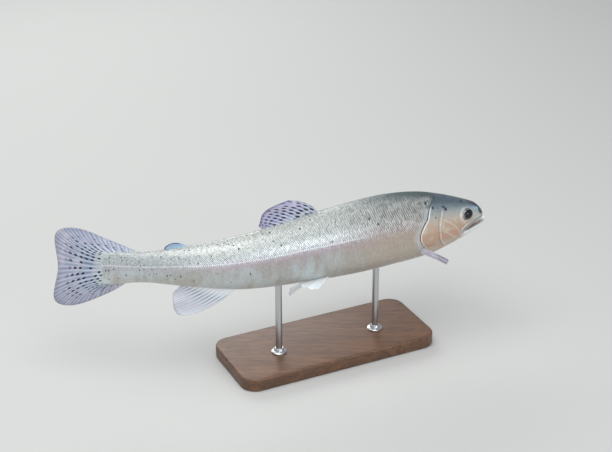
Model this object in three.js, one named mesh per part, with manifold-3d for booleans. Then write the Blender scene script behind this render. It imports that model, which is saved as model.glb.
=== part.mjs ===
// A life-size rainbow trout, held in a swimming turn on a plain display stand.
// Millimetres, +Z up, head towards +X, the fish's right side towards -Y.
// The origin is on the floor, under the middle of the base.
//
// The fish is first drawn straight: s runs back from the snout along the body, y is out to the fish's left
// and z is towards its back. bend() then lays that straight fish along its curved spine, vertex by vertex.
import * as THREE from "three";
import { mergeVertices } from "three/addons/utils/BufferGeometryUtils.js";
import Module from "manifold-3d";

const wasm = await Module();
wasm.setup();

// ---------------------------------------------------------------- driving dimensions
const gap = 0.3; // clear space left between neighbouring pieces

const bodyLength = 351; // snout to the root of the tail fin
const totalLength = 401; // snout to the tips of the tail fin, the length that the spine is laid out for

const axisHeight = 108; // of the fish's axis above the floor
const standAt = 160; // the s of the fish that stands over the middle of the base
const roll = THREE.MathUtils.degToRad(9); // the back leans away from the right side
const headTurn = THREE.MathUtils.degToRad(26); // heading of the head, towards the fish's left
const tailTurn = THREE.MathUtils.degToRad(2); // heading of the tail stem
const turnStart = 200; // the spine turns between these two places
const turnEnd = 320;

// Outline of the body at its landmarks: height of the back and of the belly, half width, height of the
// widest line, and how square the section is above and below that line (2 is an ellipse, more is boxier).
const landmarks = [
  { at: "snout", s: 0, back: 3.6, belly: -10.5, half: 9.2, wide: -4, upper: 2.1, lower: 2.1 },
  { at: "nostril", s: 9, back: 8.6, belly: -14, half: 11.4, wide: -3.5, upper: 2.1, lower: 2 },
  { at: "eye", s: 26, back: 16, belly: -22, half: 15.2, wide: -2.5, upper: 2.2, lower: 1.9 },
  { at: "cheek", s: 44, back: 22.6, belly: -28.6, half: 18.4, wide: -3, upper: 2.15, lower: 1.85 },
  { at: "gill cover", s: 66, back: 28.4, belly: -32, half: 20.8, wide: -3, upper: 2.05, lower: 1.9 },
  { at: "shoulder", s: 95, back: 32, belly: -33, half: 21.6, wide: -1, upper: 2, lower: 2 },
  { at: "deepest", s: 132, back: 31.8, belly: -33.4, half: 21.8, wide: 0, upper: 1.95, lower: 2.1 },
  { at: "dorsal fin", s: 180, back: 28, belly: -31, half: 20, wide: 0.5, upper: 1.9, lower: 2.1 },
  { at: "vent", s: 240, back: 22.4, belly: -26, half: 14.8, wide: 0, upper: 1.9, lower: 2 },
  { at: "adipose fin", s: 292, back: 17.3, belly: -17.4, half: 9.2, wide: 0, upper: 2, lower: 2 },
  { at: "tail stem", s: 328, back: 13.8, belly: -13.4, half: 5.6, wide: 0, upper: 2.1, lower: 2.1 },
  { at: "tail root", s: 352, back: 15, belly: -15.4, half: 3.4, wide: 0, upper: 2.3, lower: 2.3 },
];
const snoutRound = 10; // the snout is rounded off over this length

const around = 28; // faces round the body

// ---------------------------------------------------------------- the shape of the body
const clamp = (x, low, high) => Math.min(high, Math.max(low, x));
const mix = (a, b, t) => a + (b - a) * t;
const smooth = (t) => t * t * (3 - 2 * t);

// A smooth curve through one measurement of all the landmarks, as a function of s.
function through(key) {
  const x = landmarks.map((l) => l.s);
  const y = landmarks.map((l) => l[key]);
  const chord = (i) => (y[i + 1] - y[i]) / (x[i + 1] - x[i]);
  const last = x.length - 1;
  const slope = x.map((_, i) => {
    if (i === 0) return chord(0);
    if (i === last) return chord(last - 1);
    const before = x[i] - x[i - 1];
    const after = x[i + 1] - x[i];
    return (chord(i - 1) * after + chord(i) * before) / (before + after);
  });
  return (s) => {
    const i = clamp(x.findLastIndex((at) => at <= s), 0, last - 1);
    const h = x[i + 1] - x[i];
    const t = clamp((s - x[i]) / h, 0, 1);
    const start = y[i] * (1 + 2 * t) * (1 - t) ** 2 + h * slope[i] * t * (1 - t) ** 2;
    return start + y[i + 1] * t * t * (3 - 2 * t) + h * slope[i + 1] * t * t * (t - 1);
  };
}
const back = through("back");
const belly = through("belly");
const half = through("half");
const wide = through("wide");
const squareBack = through("upper");
const squareBelly = through("lower");

// How far the section has opened up behind the tip of the snout, from 0 to 1.
function opened(s) {
  const t = 1 - clamp(s / snoutRound, 0, 1);
  return Math.sqrt(1 - t * t);
}

// A point of the straight fish's skin. The angle runs from the back, over the left side, to the belly
// and round. grow moves the point outwards.
function skin(s, angle, grow = 0) {
  const open = opened(s);
  const up = Math.cos(angle);
  const out = Math.sin(angle);
  const power = 2 / (up > 0 ? squareBack(s) : squareBelly(s));
  const height = (up > 0 ? back(s) - wide(s) : wide(s) - belly(s)) * open + grow;
  const z = wide(s) + Math.sign(up) * height * Math.abs(up) ** power;
  const y = Math.sign(out) * (half(s) * open + grow) * Math.abs(out) ** power;
  return new THREE.Vector3(s, y, z);
}

// ---------------------------------------------------------------- the curved spine
function headingAt(s) {
  return mix(headTurn, tailTurn, smooth(clamp((s - turnStart) / (turnEnd - turnStart), 0, 1)));
}
const spineStep = 1;
const spineSpare = 20; // the spine is laid out this far past both ends of the fish
const spineStart = -spineSpare;
const spine = [new THREE.Vector2(0, 0)]; // places of the spine seen from above, one per step
for (let s = spineStart; s < totalLength + spineSpare; s += spineStep) {
  const heading = headingAt(s + spineStep / 2);
  const step = new THREE.Vector2(Math.cos(heading), Math.sin(heading)).multiplyScalar(spineStep);
  spine.push(spine.at(-1).clone().sub(step));
}
function spineAt(s) {
  const steps = (s - spineStart) / spineStep;
  const i = clamp(Math.floor(steps), 0, spine.length - 2);
  return spine[i].clone().lerp(spine[i + 1], steps - i);
}
const standSpot = spineAt(standAt);

// Moves a point of the straight fish to its place on the curved one.
function bend(p) {
  const heading = headingAt(p.x);
  const spot = spineAt(p.x).sub(standSpot);
  const left = new THREE.Vector3(-Math.sin(heading), Math.cos(heading), 0);
  const outwards = left.clone().multiplyScalar(Math.cos(roll)).setZ(-Math.sin(roll));
  const upwards = left.clone().multiplyScalar(Math.sin(roll)).setZ(Math.cos(roll));
  return new THREE.Vector3(spot.x, spot.y, axisHeight)
    .addScaledVector(outwards, p.y)
    .addScaledVector(upwards, p.z);
}

// ---------------------------------------------------------------- solids
// Moves every vertex of a geometry by a function of its place.
function reshape(geometry, place) {
  const position = geometry.getAttribute("position");
  const from = new THREE.Vector3();
  for (let i = 0; i < position.count; i++) {
    const to = place(from.fromBufferAttribute(position, i));
    position.setXYZ(i, to.x, to.y, to.z);
  }
  return geometry;
}

function solid(geometry) {
  const bare = geometry.clone();
  bare.deleteAttribute("normal");
  bare.deleteAttribute("uv");
  const merged = mergeVertices(bare, 1e-4);
  const index = new Uint32Array(merged.index.array);
  const corners = merged.getAttribute("position").array;
  const made = new wasm.Manifold(new wasm.Mesh({ numProp: 3, vertProperties: corners, triVerts: index }));
  if (made.volume() > 0) return made;
  for (let i = 0; i < index.length; i += 3) [index[i + 1], index[i + 2]] = [index[i + 2], index[i + 1]];
  return new wasm.Manifold(new wasm.Mesh({ numProp: 3, vertProperties: corners, triVerts: index }));
}

function geometryOf(manifold) {
  const mesh = manifold.getMesh();
  const corners = new Float32Array(mesh.numVert * 3);
  for (let i = 0; i < mesh.numVert; i++) {
    corners.set(mesh.vertProperties.subarray(i * mesh.numProp, i * mesh.numProp + 3), i * 3);
  }
  const geometry = new THREE.BufferGeometry();
  geometry.setAttribute("position", new THREE.BufferAttribute(corners, 3));
  geometry.setIndex(new THREE.BufferAttribute(new Uint32Array(mesh.triVerts), 1));
  return geometry;
}

// A length of the body between two places, cut square at both ends. crowd above 1 packs its rings towards
// the front.
function lengthOfBody(from, to, rings, grow = 0, crowd = 1) {
  const drum = new THREE.CylinderGeometry(1, 1, 1, around, rings);
  return solid(
    reshape(drum, (p) => {
      const s = mix(from, to, (0.5 - p.y) ** crowd);
      const centre = new THREE.Vector3(s, 0, wide(s));
      return centre.lerp(skin(s, Math.atan2(p.x, p.z), grow), Math.hypot(p.x, p.z));
    }),
  );
}

const curveSteps = 6; // straight pieces along each curve of a side-view outline
const weldDistance = 1e-6; // points of an outline closer than this are one point
const sharpest = 0.5; // limits how far a sharp corner of an outline moves out

// The same outline, moved outwards by a clearance.
function widened(outline, room) {
  const points = outline.getPoints(curveSteps);
  if (points[0].distanceTo(points.at(-1)) < weldDistance) points.pop();
  const turn = Math.sign(THREE.ShapeUtils.area(points));
  const moved = points.map((point, i) => {
    const before = point.clone().sub(points.at(i - 1)).normalize();
    const after = points[(i + 1) % points.length].clone().sub(point).normalize();
    const along = before.clone().add(after).normalize();
    const outwards = new THREE.Vector2(along.y, -along.x).multiplyScalar(turn);
    return point.clone().addScaledVector(outwards, room / Math.max(sharpest, along.dot(after)));
  });
  return new THREE.Shape(moved);
}

// A slab with the given side view (s across, z up), from y = near to y = far.
function slab(outline, near, far) {
  const form = { depth: far - near, bevelEnabled: false, curveSegments: curveSteps };
  const plate = new THREE.ExtrudeGeometry(outline, form);
  return solid(reshape(plate, (p) => new THREE.Vector3(p.x, near + p.z, p.y)));
}

const slabReach = 40; // slabs that cut the fish run out this far, past both of its sides
const snoutCut = 0.3; // the very point of the snout is cut off here
const shell = { end: 90, rings: 12, crowd: 1.25, spare: 1.3 }; // the head's outer shell, past the gills
const plateInset = 3; // the plates of the head stop this far from the middle line

// The part of the head's outer shell that lies inside an outline seen from one side, clear of the middle
// line. It stands proud of the skin, runs deep below it, and room widens it all round for a cutter.
function plateOnHead(outline, side, proud, deep, room = 0) {
  const near = plateInset - room;
  const wider = widened(outline, room);
  const window = side > 0 ? slab(wider, near, slabReach) : slab(wider, -slabReach, -near);
  const outside = lengthOfBody(snoutCut, shell.end, shell.rings, proud, shell.crowd);
  const core = [snoutCut - shell.spare, shell.end + shell.spare];
  const inside = lengthOfBody(...core, shell.rings, -deep - room, shell.crowd);
  return outside.subtract(inside).intersect(window);
}

// ---------------------------------------------------------------- head
const eyeAt = { s: 23.3, z: 2.1, angle: Math.PI * 0.44, radius: 6.1, depth: 3.3, proud: 1.8 };
const eyeTurn = THREE.MathUtils.degToRad(11); // the eye looks a little forward
const eyeTip = THREE.MathUtils.degToRad(8); // and a little up
const hinge = new THREE.Vector3(45, 0, -18); // the jaw joint
const jawDrop = THREE.MathUtils.degToRad(5);
const jawReach = 1.035; // the lower jaw is this much longer than the stretch of head above it
const mouthFront = new THREE.Vector2(-3, -3);
const mouthCorner = new THREE.Vector2(30, -14);
const hollow = { half: [17, 7.2, 4.6], pitch: THREE.MathUtils.degToRad(20), at: [18.5, 0, -10] };
const lipPlate = { proud: 0.7, deep: 1.3 };
const gillPlate = { proud: 0.9, deep: 2.2 };
const cutterProud = 6; // a cutter for a plate stands this far out of the skin

// Side view of the lower jaw: under the mouth line, and ahead of a curved cut across the throat.
function jawOutline() {
  const outline = new THREE.Shape();
  outline.moveTo(mouthFront.x, mouthFront.y);
  outline.quadraticCurveTo(16, -7.4, mouthCorner.x, mouthCorner.y);
  outline.quadraticCurveTo(38, -18, 40, -25);
  outline.lineTo(40, -40);
  outline.lineTo(mouthFront.x, -40);
  return outline;
}

function dropped(jaw) {
  const turn = new THREE.Matrix4()
    .makeTranslation(hinge)
    .multiply(new THREE.Matrix4().makeRotationY(-jawDrop))
    .multiply(new THREE.Matrix4().makeScale(jawReach, 1, 1))
    .multiply(new THREE.Matrix4().makeTranslation(hinge.clone().negate()));
  return jaw.transform(turn.elements);
}

function mouthHollow() {
  const ball = new THREE.SphereGeometry(1, 12, 8);
  ball.scale(...hollow.half);
  ball.rotateY(hollow.pitch);
  ball.translate(...hollow.at);
  return solid(ball);
}

// Side view of the long bone along the upper lip, blunt and wider at its rear end.
function lipBoneOutline() {
  const outline = new THREE.Shape();
  outline.moveTo(4, -1.4);
  outline.quadraticCurveTo(15, -3, 25.5, -8);
  outline.quadraticCurveTo(32, -10.8, 31.6, -13.4);
  outline.quadraticCurveTo(30.4, -16.6, 26, -14.4);
  outline.quadraticCurveTo(15, -8.2, 4, -4.2);
  return outline;
}

// Side view of the gill cover, from the groove behind the cheek to its free rear edge.
function gillCoverOutline() {
  const outline = new THREE.Shape();
  outline.moveTo(51, 12);
  outline.quadraticCurveTo(55, 19, 61.5, 17.6);
  outline.quadraticCurveTo(66.5, 10, 72.4, 1);
  outline.quadraticCurveTo(79.8, -9, 72, -17.6);
  outline.quadraticCurveTo(66, -25, 58, -28.4);
  outline.quadraticCurveTo(53, -29.6, 47.5, -26.5);
  outline.quadraticCurveTo(50, -21, 53, -15);
  outline.quadraticCurveTo(56.4, -2, 51, 12);
  return outline;
}

// Side view of the head: it ends at the nape, under the gill cover, and below between the gill openings.
function headOutline() {
  const outline = new THREE.Shape();
  outline.moveTo(-6, -45);
  outline.lineTo(66, -45);
  outline.quadraticCurveTo(66, 4, 51.5, 15);
  outline.quadraticCurveTo(49.5, 24, 49, 45);
  outline.lineTo(-6, 45);
  return outline;
}

function eyeball(side, grow = 0) {
  const ball = new THREE.SphereGeometry(1, 16, 10);
  ball.scale(eyeAt.radius + grow, eyeAt.depth + grow, eyeAt.radius + grow);
  ball.rotateZ(side * eyeTurn);
  ball.rotateX(side * eyeTip);
  const surface = skin(eyeAt.s, eyeAt.angle);
  ball.translate(eyeAt.s, side * (surface.y + eyeAt.proud - eyeAt.depth), eyeAt.z);
  return solid(ball);
}

const headEnd = 66;
const headRings = 12;
const headCrowd = 1.8; // the rings crowd towards the snout
const grownStart = -0.4; // the cutter for the jaw starts ahead of the snout
const wholeHead = lengthOfBody(snoutCut, headEnd, headRings, 0, headCrowd).intersect(
  slab(headOutline(), -slabReach, slabReach),
);
const grownHead = lengthOfBody(grownStart, headEnd, headRings, gap, headCrowd);
const parts = {};
const jawWindow = slab(jawOutline(), -slabReach, slabReach);
const jawRoomWindow = slab(widened(jawOutline(), gap), -slabReach, slabReach);
parts.jaw_lower = dropped(wholeHead.intersect(jawWindow).subtract(mouthHollow()));
const jawRoom = dropped(grownHead.intersect(jawRoomWindow));
parts.head = wholeHead
  .subtract(jawRoomWindow)
  .subtract(jawRoom)
  .subtract(mouthHollow());

const sides = { left: 1, right: -1 };
const gillRooms = [];
for (const [name, side] of Object.entries(sides)) {
  const gillCover = plateOnHead(gillCoverOutline(), side, gillPlate.proud, gillPlate.deep);
  const gillRoom = plateOnHead(gillCoverOutline(), side, cutterProud, gillPlate.deep, gap);
  const lipBone = plateOnHead(lipBoneOutline(), side, lipPlate.proud, lipPlate.deep);
  const lipRoom = plateOnHead(lipBoneOutline(), side, cutterProud, lipPlate.deep, gap);
  parts["gill_cover_" + name] = gillCover;
  parts["lip_bone_" + name] = lipBone.subtract(jawRoom);
  parts["eye_" + name] = eyeball(side);
  parts.head = parts.head.subtract(gillRoom).subtract(lipRoom).subtract(eyeball(side, gap));
  parts.jaw_lower = parts.jaw_lower.subtract(lipRoom);
  gillRooms.push(gillRoom);
}

// ---------------------------------------------------------------- trunk and tail stem
const trunkStart = 48; // the trunk reaches under the head and the gill covers, which are cut out of it
const trunkSplit = 166;
const stemSplit = 252;
const finsStart = 60; // every fin and rod is behind this place
parts.trunk_front = lengthOfBody(trunkStart, trunkSplit, 10)
  .subtract(slab(widened(headOutline(), gap), -slabReach, slabReach))
  .subtract(gillRooms[0])
  .subtract(gillRooms[1]);
parts.trunk_rear = lengthOfBody(trunkSplit + gap, stemSplit, 7);
parts.tail_stem = lengthOfBody(stemSplit + gap, bodyLength, 9);
const bodyRoom = lengthOfBody(finsStart, bodyLength + gap, 34, gap); // cut from the roots of fins and rods

// ---------------------------------------------------------------- fins
// A fin is a bent board: u runs out along the rays, v from the leading ray to the last one.
// Each ray is a curve with a root, a point that it bows towards, and a tip, all given as functions of v.
const finEdge = 0.55; // thickness of a fin out near its edge
const thinned = 0.625; // share of a ray over which the fin thins down to that
const finSteps = 6;

function fin({ root, bow, tip, thick, edge = finEdge, rays = 9, steps = finSteps }) {
  const ray = (u, v) =>
    root(v)
      .multiplyScalar((1 - u) ** 2)
      .addScaledVector(bow(v), 2 * u * (1 - u))
      .addScaledVector(tip(v), u * u);
  const nudge = 0.01;
  const board = new THREE.BoxGeometry(1, 1, 1, steps, rays, 1);
  return solid(
    reshape(board, (p) => {
      const u = p.x + 0.5;
      const v = p.y + 0.5;
      const along = ray(u + nudge, v).sub(ray(u - nudge, v));
      const across = ray(u, Math.min(1, v + nudge)).sub(ray(u, Math.max(0, v - nudge)));
      const through = along.cross(across).normalize();
      return ray(u, v).addScaledVector(through, p.z * mix(thick, edge, Math.min(1, u / thinned)));
    }),
  );
}

// A smooth side-view path through a few places, as a function of v.
function path(places) {
  const curve = new THREE.SplineCurve(places.map(([s, z]) => new THREE.Vector2(s, z)));
  return (v, y = 0) => {
    const place = curve.getPoint(v);
    return new THREE.Vector3(place.x, y, place.y);
  };
}

// A fin of the middle line: the roots and the tips of its rays run along two paths. The first and the
// last ray rise from their roots at the two angles of rise, and the tips lie to one side by sway.
function middleFin({ roots, tips, rise, sway, ...rest }) {
  const root = path(roots);
  const tipPath = path(tips);
  const tip = (v) => tipPath(v, sway);
  const bow = (v) => {
    const start = root(v);
    const reach = 0.5 * start.distanceTo(tip(v));
    const angle = THREE.MathUtils.degToRad(mix(rise[0], rise[1], v));
    return start.add(new THREE.Vector3(Math.cos(angle) * reach, 0, Math.sin(angle) * reach));
  };
  return fin({ root, bow, tip, ...rest });
}

parts.fin_dorsal = middleFin({
  roots: [[163, 26], [178, 25], [195, 23.5], [212, 21.5]],
  tips: [[192, 44.6], [204, 42.6], [212, 40.4], [217.5, 36], [220.5, 29.5], [221.5, 26.5]],
  rise: [60, 18],
  sway: 1.5,
  thick: 2.6,
}).subtract(bodyRoom);

parts.fin_adipose = middleFin({
  roots: [[285, 15.5], [290, 15], [295, 14.6]],
  tips: [[293, 20.8], [299, 21.2], [303.5, 19.2], [305.5, 16.6], [303, 15.4]],
  rise: [75, 5],
  sway: -1.6,
  thick: 3,
  edge: 1.2,
  rays: 8,
  steps: 5,
}).subtract(bodyRoom);

parts.fin_anal = middleFin({
  roots: [[243, -22.5], [257, -20], [273, -17], [289, -14.5]],
  tips: [[286, -43.6], [295, -43.2], [299, -38], [300, -30], [299.5, -24], [297, -20]],
  rise: [-40, -28],
  sway: -2,
  thick: 2.4,
}).subtract(bodyRoom);

parts.fin_tail = middleFin({
  roots: [
    [327, 9],
    [341, 11],
    [351.5, 12],
    [351.5, 8],
    [351.5, 0],
    [351.5, -8],
    [351.5, -12],
    [345, -11],
    [333, -9],
  ],
  tips: [
    [331, 14.4],
    [352, 23.6],
    [379, 34.6],
    [397, 29.5],
    [396, 0],
    [401, -28.5],
    [386, -35],
    [357, -24.4],
    [337, -14.4],
  ],
  rise: [24, -24],
  sway: 4,
  thick: 5,
  rays: 21,
}).subtract(bodyRoom);

const rootDepth = 2.5; // the roots of the paired fins start this far inside the body

// A paired fin: its root runs from one place (s and degrees round from the back) to another, and its rays
// fan from one direction to another. Directions are (back along the body, out to the side, down).
function pairedFin(side, { rootFrom, rootTo, lead, trail, length, droop, ...rest }) {
  const rootAt = (s, degrees) => {
    const spot = skin(s, THREE.MathUtils.degToRad(degrees), -rootDepth);
    return spot.setY(side * spot.y);
  };
  const direction = (v) => {
    const d = new THREE.Vector3(...lead).lerp(new THREE.Vector3(...trail), v).normalize();
    return new THREE.Vector3(d.x, side * d.y, -d.z);
  };
  const root = (v) => rootAt(mix(rootFrom[0], rootTo[0], v), mix(rootFrom[1], rootTo[1], v));
  const bow = (v) => root(v).addScaledVector(direction(v), 0.5 * length(v));
  const sag = new THREE.Vector3(0, 0, -droop);
  const tip = (v) => root(v).addScaledVector(direction(v), length(v)).add(sag);
  return fin({ root, bow, tip, ...rest });
}

// The right fins are the ones towards the outside of the turn: the pectoral is held out edge-on like an oar
// and the pelvic is spread flat. On the left the pectoral fans open and the pelvic hangs.
const pairedPose = {
  left: {
    pectoral: { lead: [0.28, 0.9, 0.34], trail: [0.7, 0.7, 0.18], length: (v) => mix(42, 27, smooth(v)) },
    pelvic: { lead: [0.81, 0.26, 0.52], trail: [0.93, 0.12, 0.33] },
  },
  right: {
    pectoral: { lead: [-0.07, 0.99, -0.03], trail: [-0.17, 0.98, -0.02], length: (v) => mix(41, 39, v) },
    pelvic: { lead: [0.68, 0.73, 0.0], trail: [0.92, 0.38, 0.0] },
  },
};
for (const [name, side] of Object.entries(sides)) {
  parts["fin_pectoral_" + name] = pairedFin(side, {
    rootFrom: [71.5, 129],
    rootTo: [75, 141],
    droop: 1.5,
    thick: 3,
    rays: 8,
    ...pairedPose[name].pectoral,
  }).subtract(bodyRoom);
  parts["fin_pelvic_" + name] = pairedFin(side, {
    rootFrom: [160.5, 160],
    rootTo: [169, 168],
    length: (v) => mix(38, 26, v),
    droop: 0,
    thick: 2.4,
    rays: 7,
    ...pairedPose[name].pelvic,
  }).subtract(bodyRoom);
}

// ---------------------------------------------------------------- display stand
const base = { length: 190, width: 80, thick: 12, corner: 14, chamfer: 1.5 };
const rodRadius = 3;
const rodSpare = 6; // a rod is made this much too long, and then trimmed to the belly
const rodsAt = { front: 112, rear: 208 };

function baseBoard() {
  const x = base.length / 2 - base.chamfer;
  const y = base.width / 2 - base.chamfer;
  const r = base.corner - base.chamfer;
  const outline = new THREE.Shape();
  outline.moveTo(-x + r, -y);
  outline.lineTo(x - r, -y);
  outline.absarc(x - r, -y + r, r, -Math.PI / 2, 0);
  outline.absarc(x - r, y - r, r, 0, Math.PI / 2);
  outline.absarc(-x + r, y - r, r, Math.PI / 2, Math.PI);
  outline.absarc(-x + r, -y + r, r, Math.PI, Math.PI * 1.5);
  const board = new THREE.ExtrudeGeometry(outline, {
    depth: base.thick - 2 * base.chamfer,
    bevelThickness: base.chamfer,
    bevelSize: base.chamfer,
    bevelSegments: 1,
    curveSegments: curveSteps,
  });
  return board.translate(0, 0, base.chamfer);
}

const baseTurn = Math.atan2(
  spineAt(rodsAt.front).y - spineAt(rodsAt.rear).y,
  spineAt(rodsAt.front).x - spineAt(rodsAt.rear).x,
);

// ---------------------------------------------------------------- the group
const colours = {
  flesh: { color: 0xb9bfbd, roughness: 0.35, metalness: 0.35 },
  gill: { color: 0xc0ab98, roughness: 0.35, metalness: 0.3 },
  fin: { color: 0xc3ccd4, roughness: 0.5, metalness: 0.05 },
  eye: { color: 0x1a2430, roughness: 0.1, metalness: 0 },
  board: { color: 0xd8d4cc, roughness: 0.6, metalness: 0 },
  rod: { color: 0xb8bcc0, roughness: 0.3, metalness: 0.9 },
};
const finishOf = (name) => {
  if (name.startsWith("fin_")) return "fin";
  if (name.startsWith("eye_")) return "eye";
  if (name.startsWith("gill_") || name.startsWith("lip_")) return "gill";
  return "flesh";
};
const materials = Object.fromEntries(
  Object.entries(colours).map(([name, look]) => [name, new THREE.MeshStandardMaterial(look)]),
);

const trout = new THREE.Group();
for (const [name, manifold] of Object.entries(parts)) {
  const pieces = manifold.decompose().sort((a, b) => b.volume() - a.volume());
  const bent = solid(reshape(geometryOf(pieces[0]), bend));
  const mesh = new THREE.Mesh(geometryOf(bent), materials[finishOf(name)]);
  mesh.name = name;
  trout.add(mesh);
}

const board = new THREE.Mesh(baseBoard(), materials.board);
board.name = "stand_base";
board.rotation.z = baseTurn;
trout.add(board);

// A rod stands on the board and ends just short of the belly, shaped to it.
const fleshRoom = solid(reshape(geometryOf(bodyRoom), bend));
for (const [name, s] of Object.entries(rodsAt)) {
  const spot = bend(new THREE.Vector3(s, 0, belly(s)));
  const foot = base.thick + gap;
  const top = spot.z + rodSpare;
  const rod = new THREE.CylinderGeometry(rodRadius, rodRadius, top - foot, 16);
  rod.rotateX(Math.PI / 2);
  rod.translate(spot.x, spot.y, (top + foot) / 2);
  const mesh = new THREE.Mesh(geometryOf(solid(rod).subtract(fleshRoom)), materials.rod);
  mesh.name = "stand_rod_" + name;
  trout.add(mesh);
}

export default trout;
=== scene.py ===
# %% [markdown]
# # A rainbow trout, as a life-size museum model
#
# A museum trout is cast from a real fish, painted, and held up by thin rods over a board. Here the solids
# that carry the collision and the weight are loaded first, as a fixed frame. Everything that is seen is
# then made over them: one skin for the flesh, a coat of scales, rayed fins, glossy eyes, and a better
# finish on the stand.

# %% Load the frame
import math

import bmesh
import bpy
import numpy as np
from mathutils import Matrix, Vector


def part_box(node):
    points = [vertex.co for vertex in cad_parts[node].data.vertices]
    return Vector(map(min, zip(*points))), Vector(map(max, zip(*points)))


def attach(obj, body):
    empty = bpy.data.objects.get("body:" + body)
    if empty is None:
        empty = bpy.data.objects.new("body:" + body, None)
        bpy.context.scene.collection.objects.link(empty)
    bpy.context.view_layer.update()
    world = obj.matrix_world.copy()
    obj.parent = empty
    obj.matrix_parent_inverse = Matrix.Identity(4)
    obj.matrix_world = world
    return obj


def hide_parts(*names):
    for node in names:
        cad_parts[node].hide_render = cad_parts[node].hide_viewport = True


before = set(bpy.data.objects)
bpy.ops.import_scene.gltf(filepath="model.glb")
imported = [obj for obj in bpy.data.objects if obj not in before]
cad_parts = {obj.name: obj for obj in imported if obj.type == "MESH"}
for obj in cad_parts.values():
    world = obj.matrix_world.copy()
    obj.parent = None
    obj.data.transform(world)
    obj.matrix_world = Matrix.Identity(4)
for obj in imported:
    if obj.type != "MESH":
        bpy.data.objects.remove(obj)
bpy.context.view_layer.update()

# %% [markdown]
# ## The outline of the body
#
# A trout's body is a long spindle. A maker measures it at a few landmarks and fairs a smooth curve through
# them, as a boat builder does with a hull. The same few numbers could be sculpted by hand, but a formula
# lets the skin, each scale and each fin root ask where the surface is. All of it is drawn straight first,
# in millimetres: s runs back from the snout, y is out to the fish's left, z is towards its back.

# %% Landmarks of the body
MM = 0.001  # metres in a millimetre
SIDES = {"left": 1, "right": -1}  # the sign of y on each side of the fish

# s, height of the back, height of the belly, half width, height of the widest line, and how square the
# section is above and below that line
LANDMARKS = {
    "snout": (0, 3.6, -10.5, 9.2, -4, 2.1, 2.1),
    "nostril": (9, 8.6, -14, 11.4, -3.5, 2.1, 2),
    "eye": (26, 16, -22, 15.2, -2.5, 2.2, 1.9),
    "cheek": (44, 22.6, -28.6, 18.4, -3, 2.15, 1.85),
    "gill cover": (66, 28.4, -32, 20.8, -3, 2.05, 1.9),
    "shoulder": (95, 32, -33, 21.6, -1, 2, 2),
    "deepest": (132, 31.8, -33.4, 21.8, 0, 1.95, 2.1),
    "dorsal fin": (180, 28, -31, 20, 0.5, 1.9, 2.1),
    "vent": (240, 22.4, -26, 14.8, 0, 1.9, 2),
    "adipose fin": (292, 17.3, -17.4, 9.2, 0, 2, 2),
    "tail stem": (328, 13.8, -13.4, 5.6, 0, 2.1, 2.1),
    "tail root": (352, 15, -15.4, 3.4, 0, 2.3, 2.3),
}
SNOUT_ROUND = 10  # the snout is rounded off over this length
BODY_LENGTH = 351
TAPER_START, TAPER_END = 350, 361  # the flesh thins out between these, over the roots of the tail's rays
SKIN_DEPTH = 0.25  # the skin lies this far inside the solids, and the scales stand on it


def faired(stations, heights):
    """A smooth curve through one measurement of every landmark, as a function of s."""
    x, y = np.array(stations, float), np.array(heights, float)
    chord = np.diff(y) / np.diff(x)
    gaps = np.diff(x)
    middle = (chord[:-1] * gaps[1:] + chord[1:] * gaps[:-1]) / (gaps[:-1] + gaps[1:])
    slope = np.concatenate([chord[:1], middle, chord[-1:]])

    def at(s):
        i = np.clip(np.searchsorted(x, s, side="right") - 1, 0, len(x) - 2)
        h = x[i + 1] - x[i]
        t = np.clip((s - x[i]) / h, 0, 1)
        start = y[i] * (1 + 2 * t) * (1 - t) ** 2 + h * slope[i] * t * (1 - t) ** 2
        return start + y[i + 1] * t * t * (3 - 2 * t) + h * slope[i + 1] * t * t * (t - 1)

    return at


COLUMNS = list(zip(*LANDMARKS.values()))
back, belly, half, wide, square_back, square_belly = [faired(COLUMNS[0], c) for c in COLUMNS[1:]]
print("depth at the deepest:", back(132.0) - belly(132.0), "mm, width:", 2 * half(132.0), "mm")


# %% A point of the body, and the way out of it
def smooth(t):
    t = np.clip(t, 0, 1)
    return t * t * (3 - 2 * t)


def mix(a, b, t):
    return a + (b - a) * t


def opened(s):
    """How far the section has opened up behind the tip of the snout, from 0 to 1."""
    t = 1 - np.clip(s / SNOUT_ROUND, 0, 1)
    return np.sqrt(1 - t * t)


def thinned(s):
    """How thin the section has become over the roots of the tail's rays, from 1 down to 0."""
    t = np.clip((s - TAPER_START) / (TAPER_END - TAPER_START), 0, 1)
    return np.sqrt(1 - t * t)


def body(s, angle, grow=0.0):
    """Points of the straight body. The angle runs from the back, over the left side, to the belly."""
    s, angle = np.broadcast_arrays(np.asarray(s, float), np.asarray(angle, float))
    up, out = np.cos(angle), np.sin(angle)
    power = 2 / np.where(up > 0, square_back(s), square_belly(s))
    tall = np.where(up > 0, back(s) - wide(s), wide(s) - belly(s)) * opened(s) + grow
    z = wide(s) + np.sign(up) * tall * np.abs(up) ** power
    y = np.sign(out) * (half(s) * opened(s) * thinned(s) + grow) * np.abs(out) ** power
    return np.stack([s, y, z], -1)


def outwards(s, angle):
    """The unit direction straight out of the body at each of its points."""
    nudge = 0.02
    along = body(s + nudge, angle) - body(np.maximum(s - nudge, 0.0), angle)
    round_it = body(s, angle + nudge) - body(s, angle - nudge)
    out = np.cross(along, round_it)
    return out / np.maximum(np.linalg.norm(out, axis=-1, keepdims=True), 1e-9)


print("out of the left side:", outwards(132.0, math.pi / 2).round(2))

# %% [markdown]
# ## The turn of the body
#
# The fish is held in a slow turn: its head points one way, its tail stem another, and its back leans over a
# little. A curve modifier could bend a mesh, but the solids were bent by a formula, so the same formula is
# used here. It lays any point of the straight fish along the curved spine.

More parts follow.
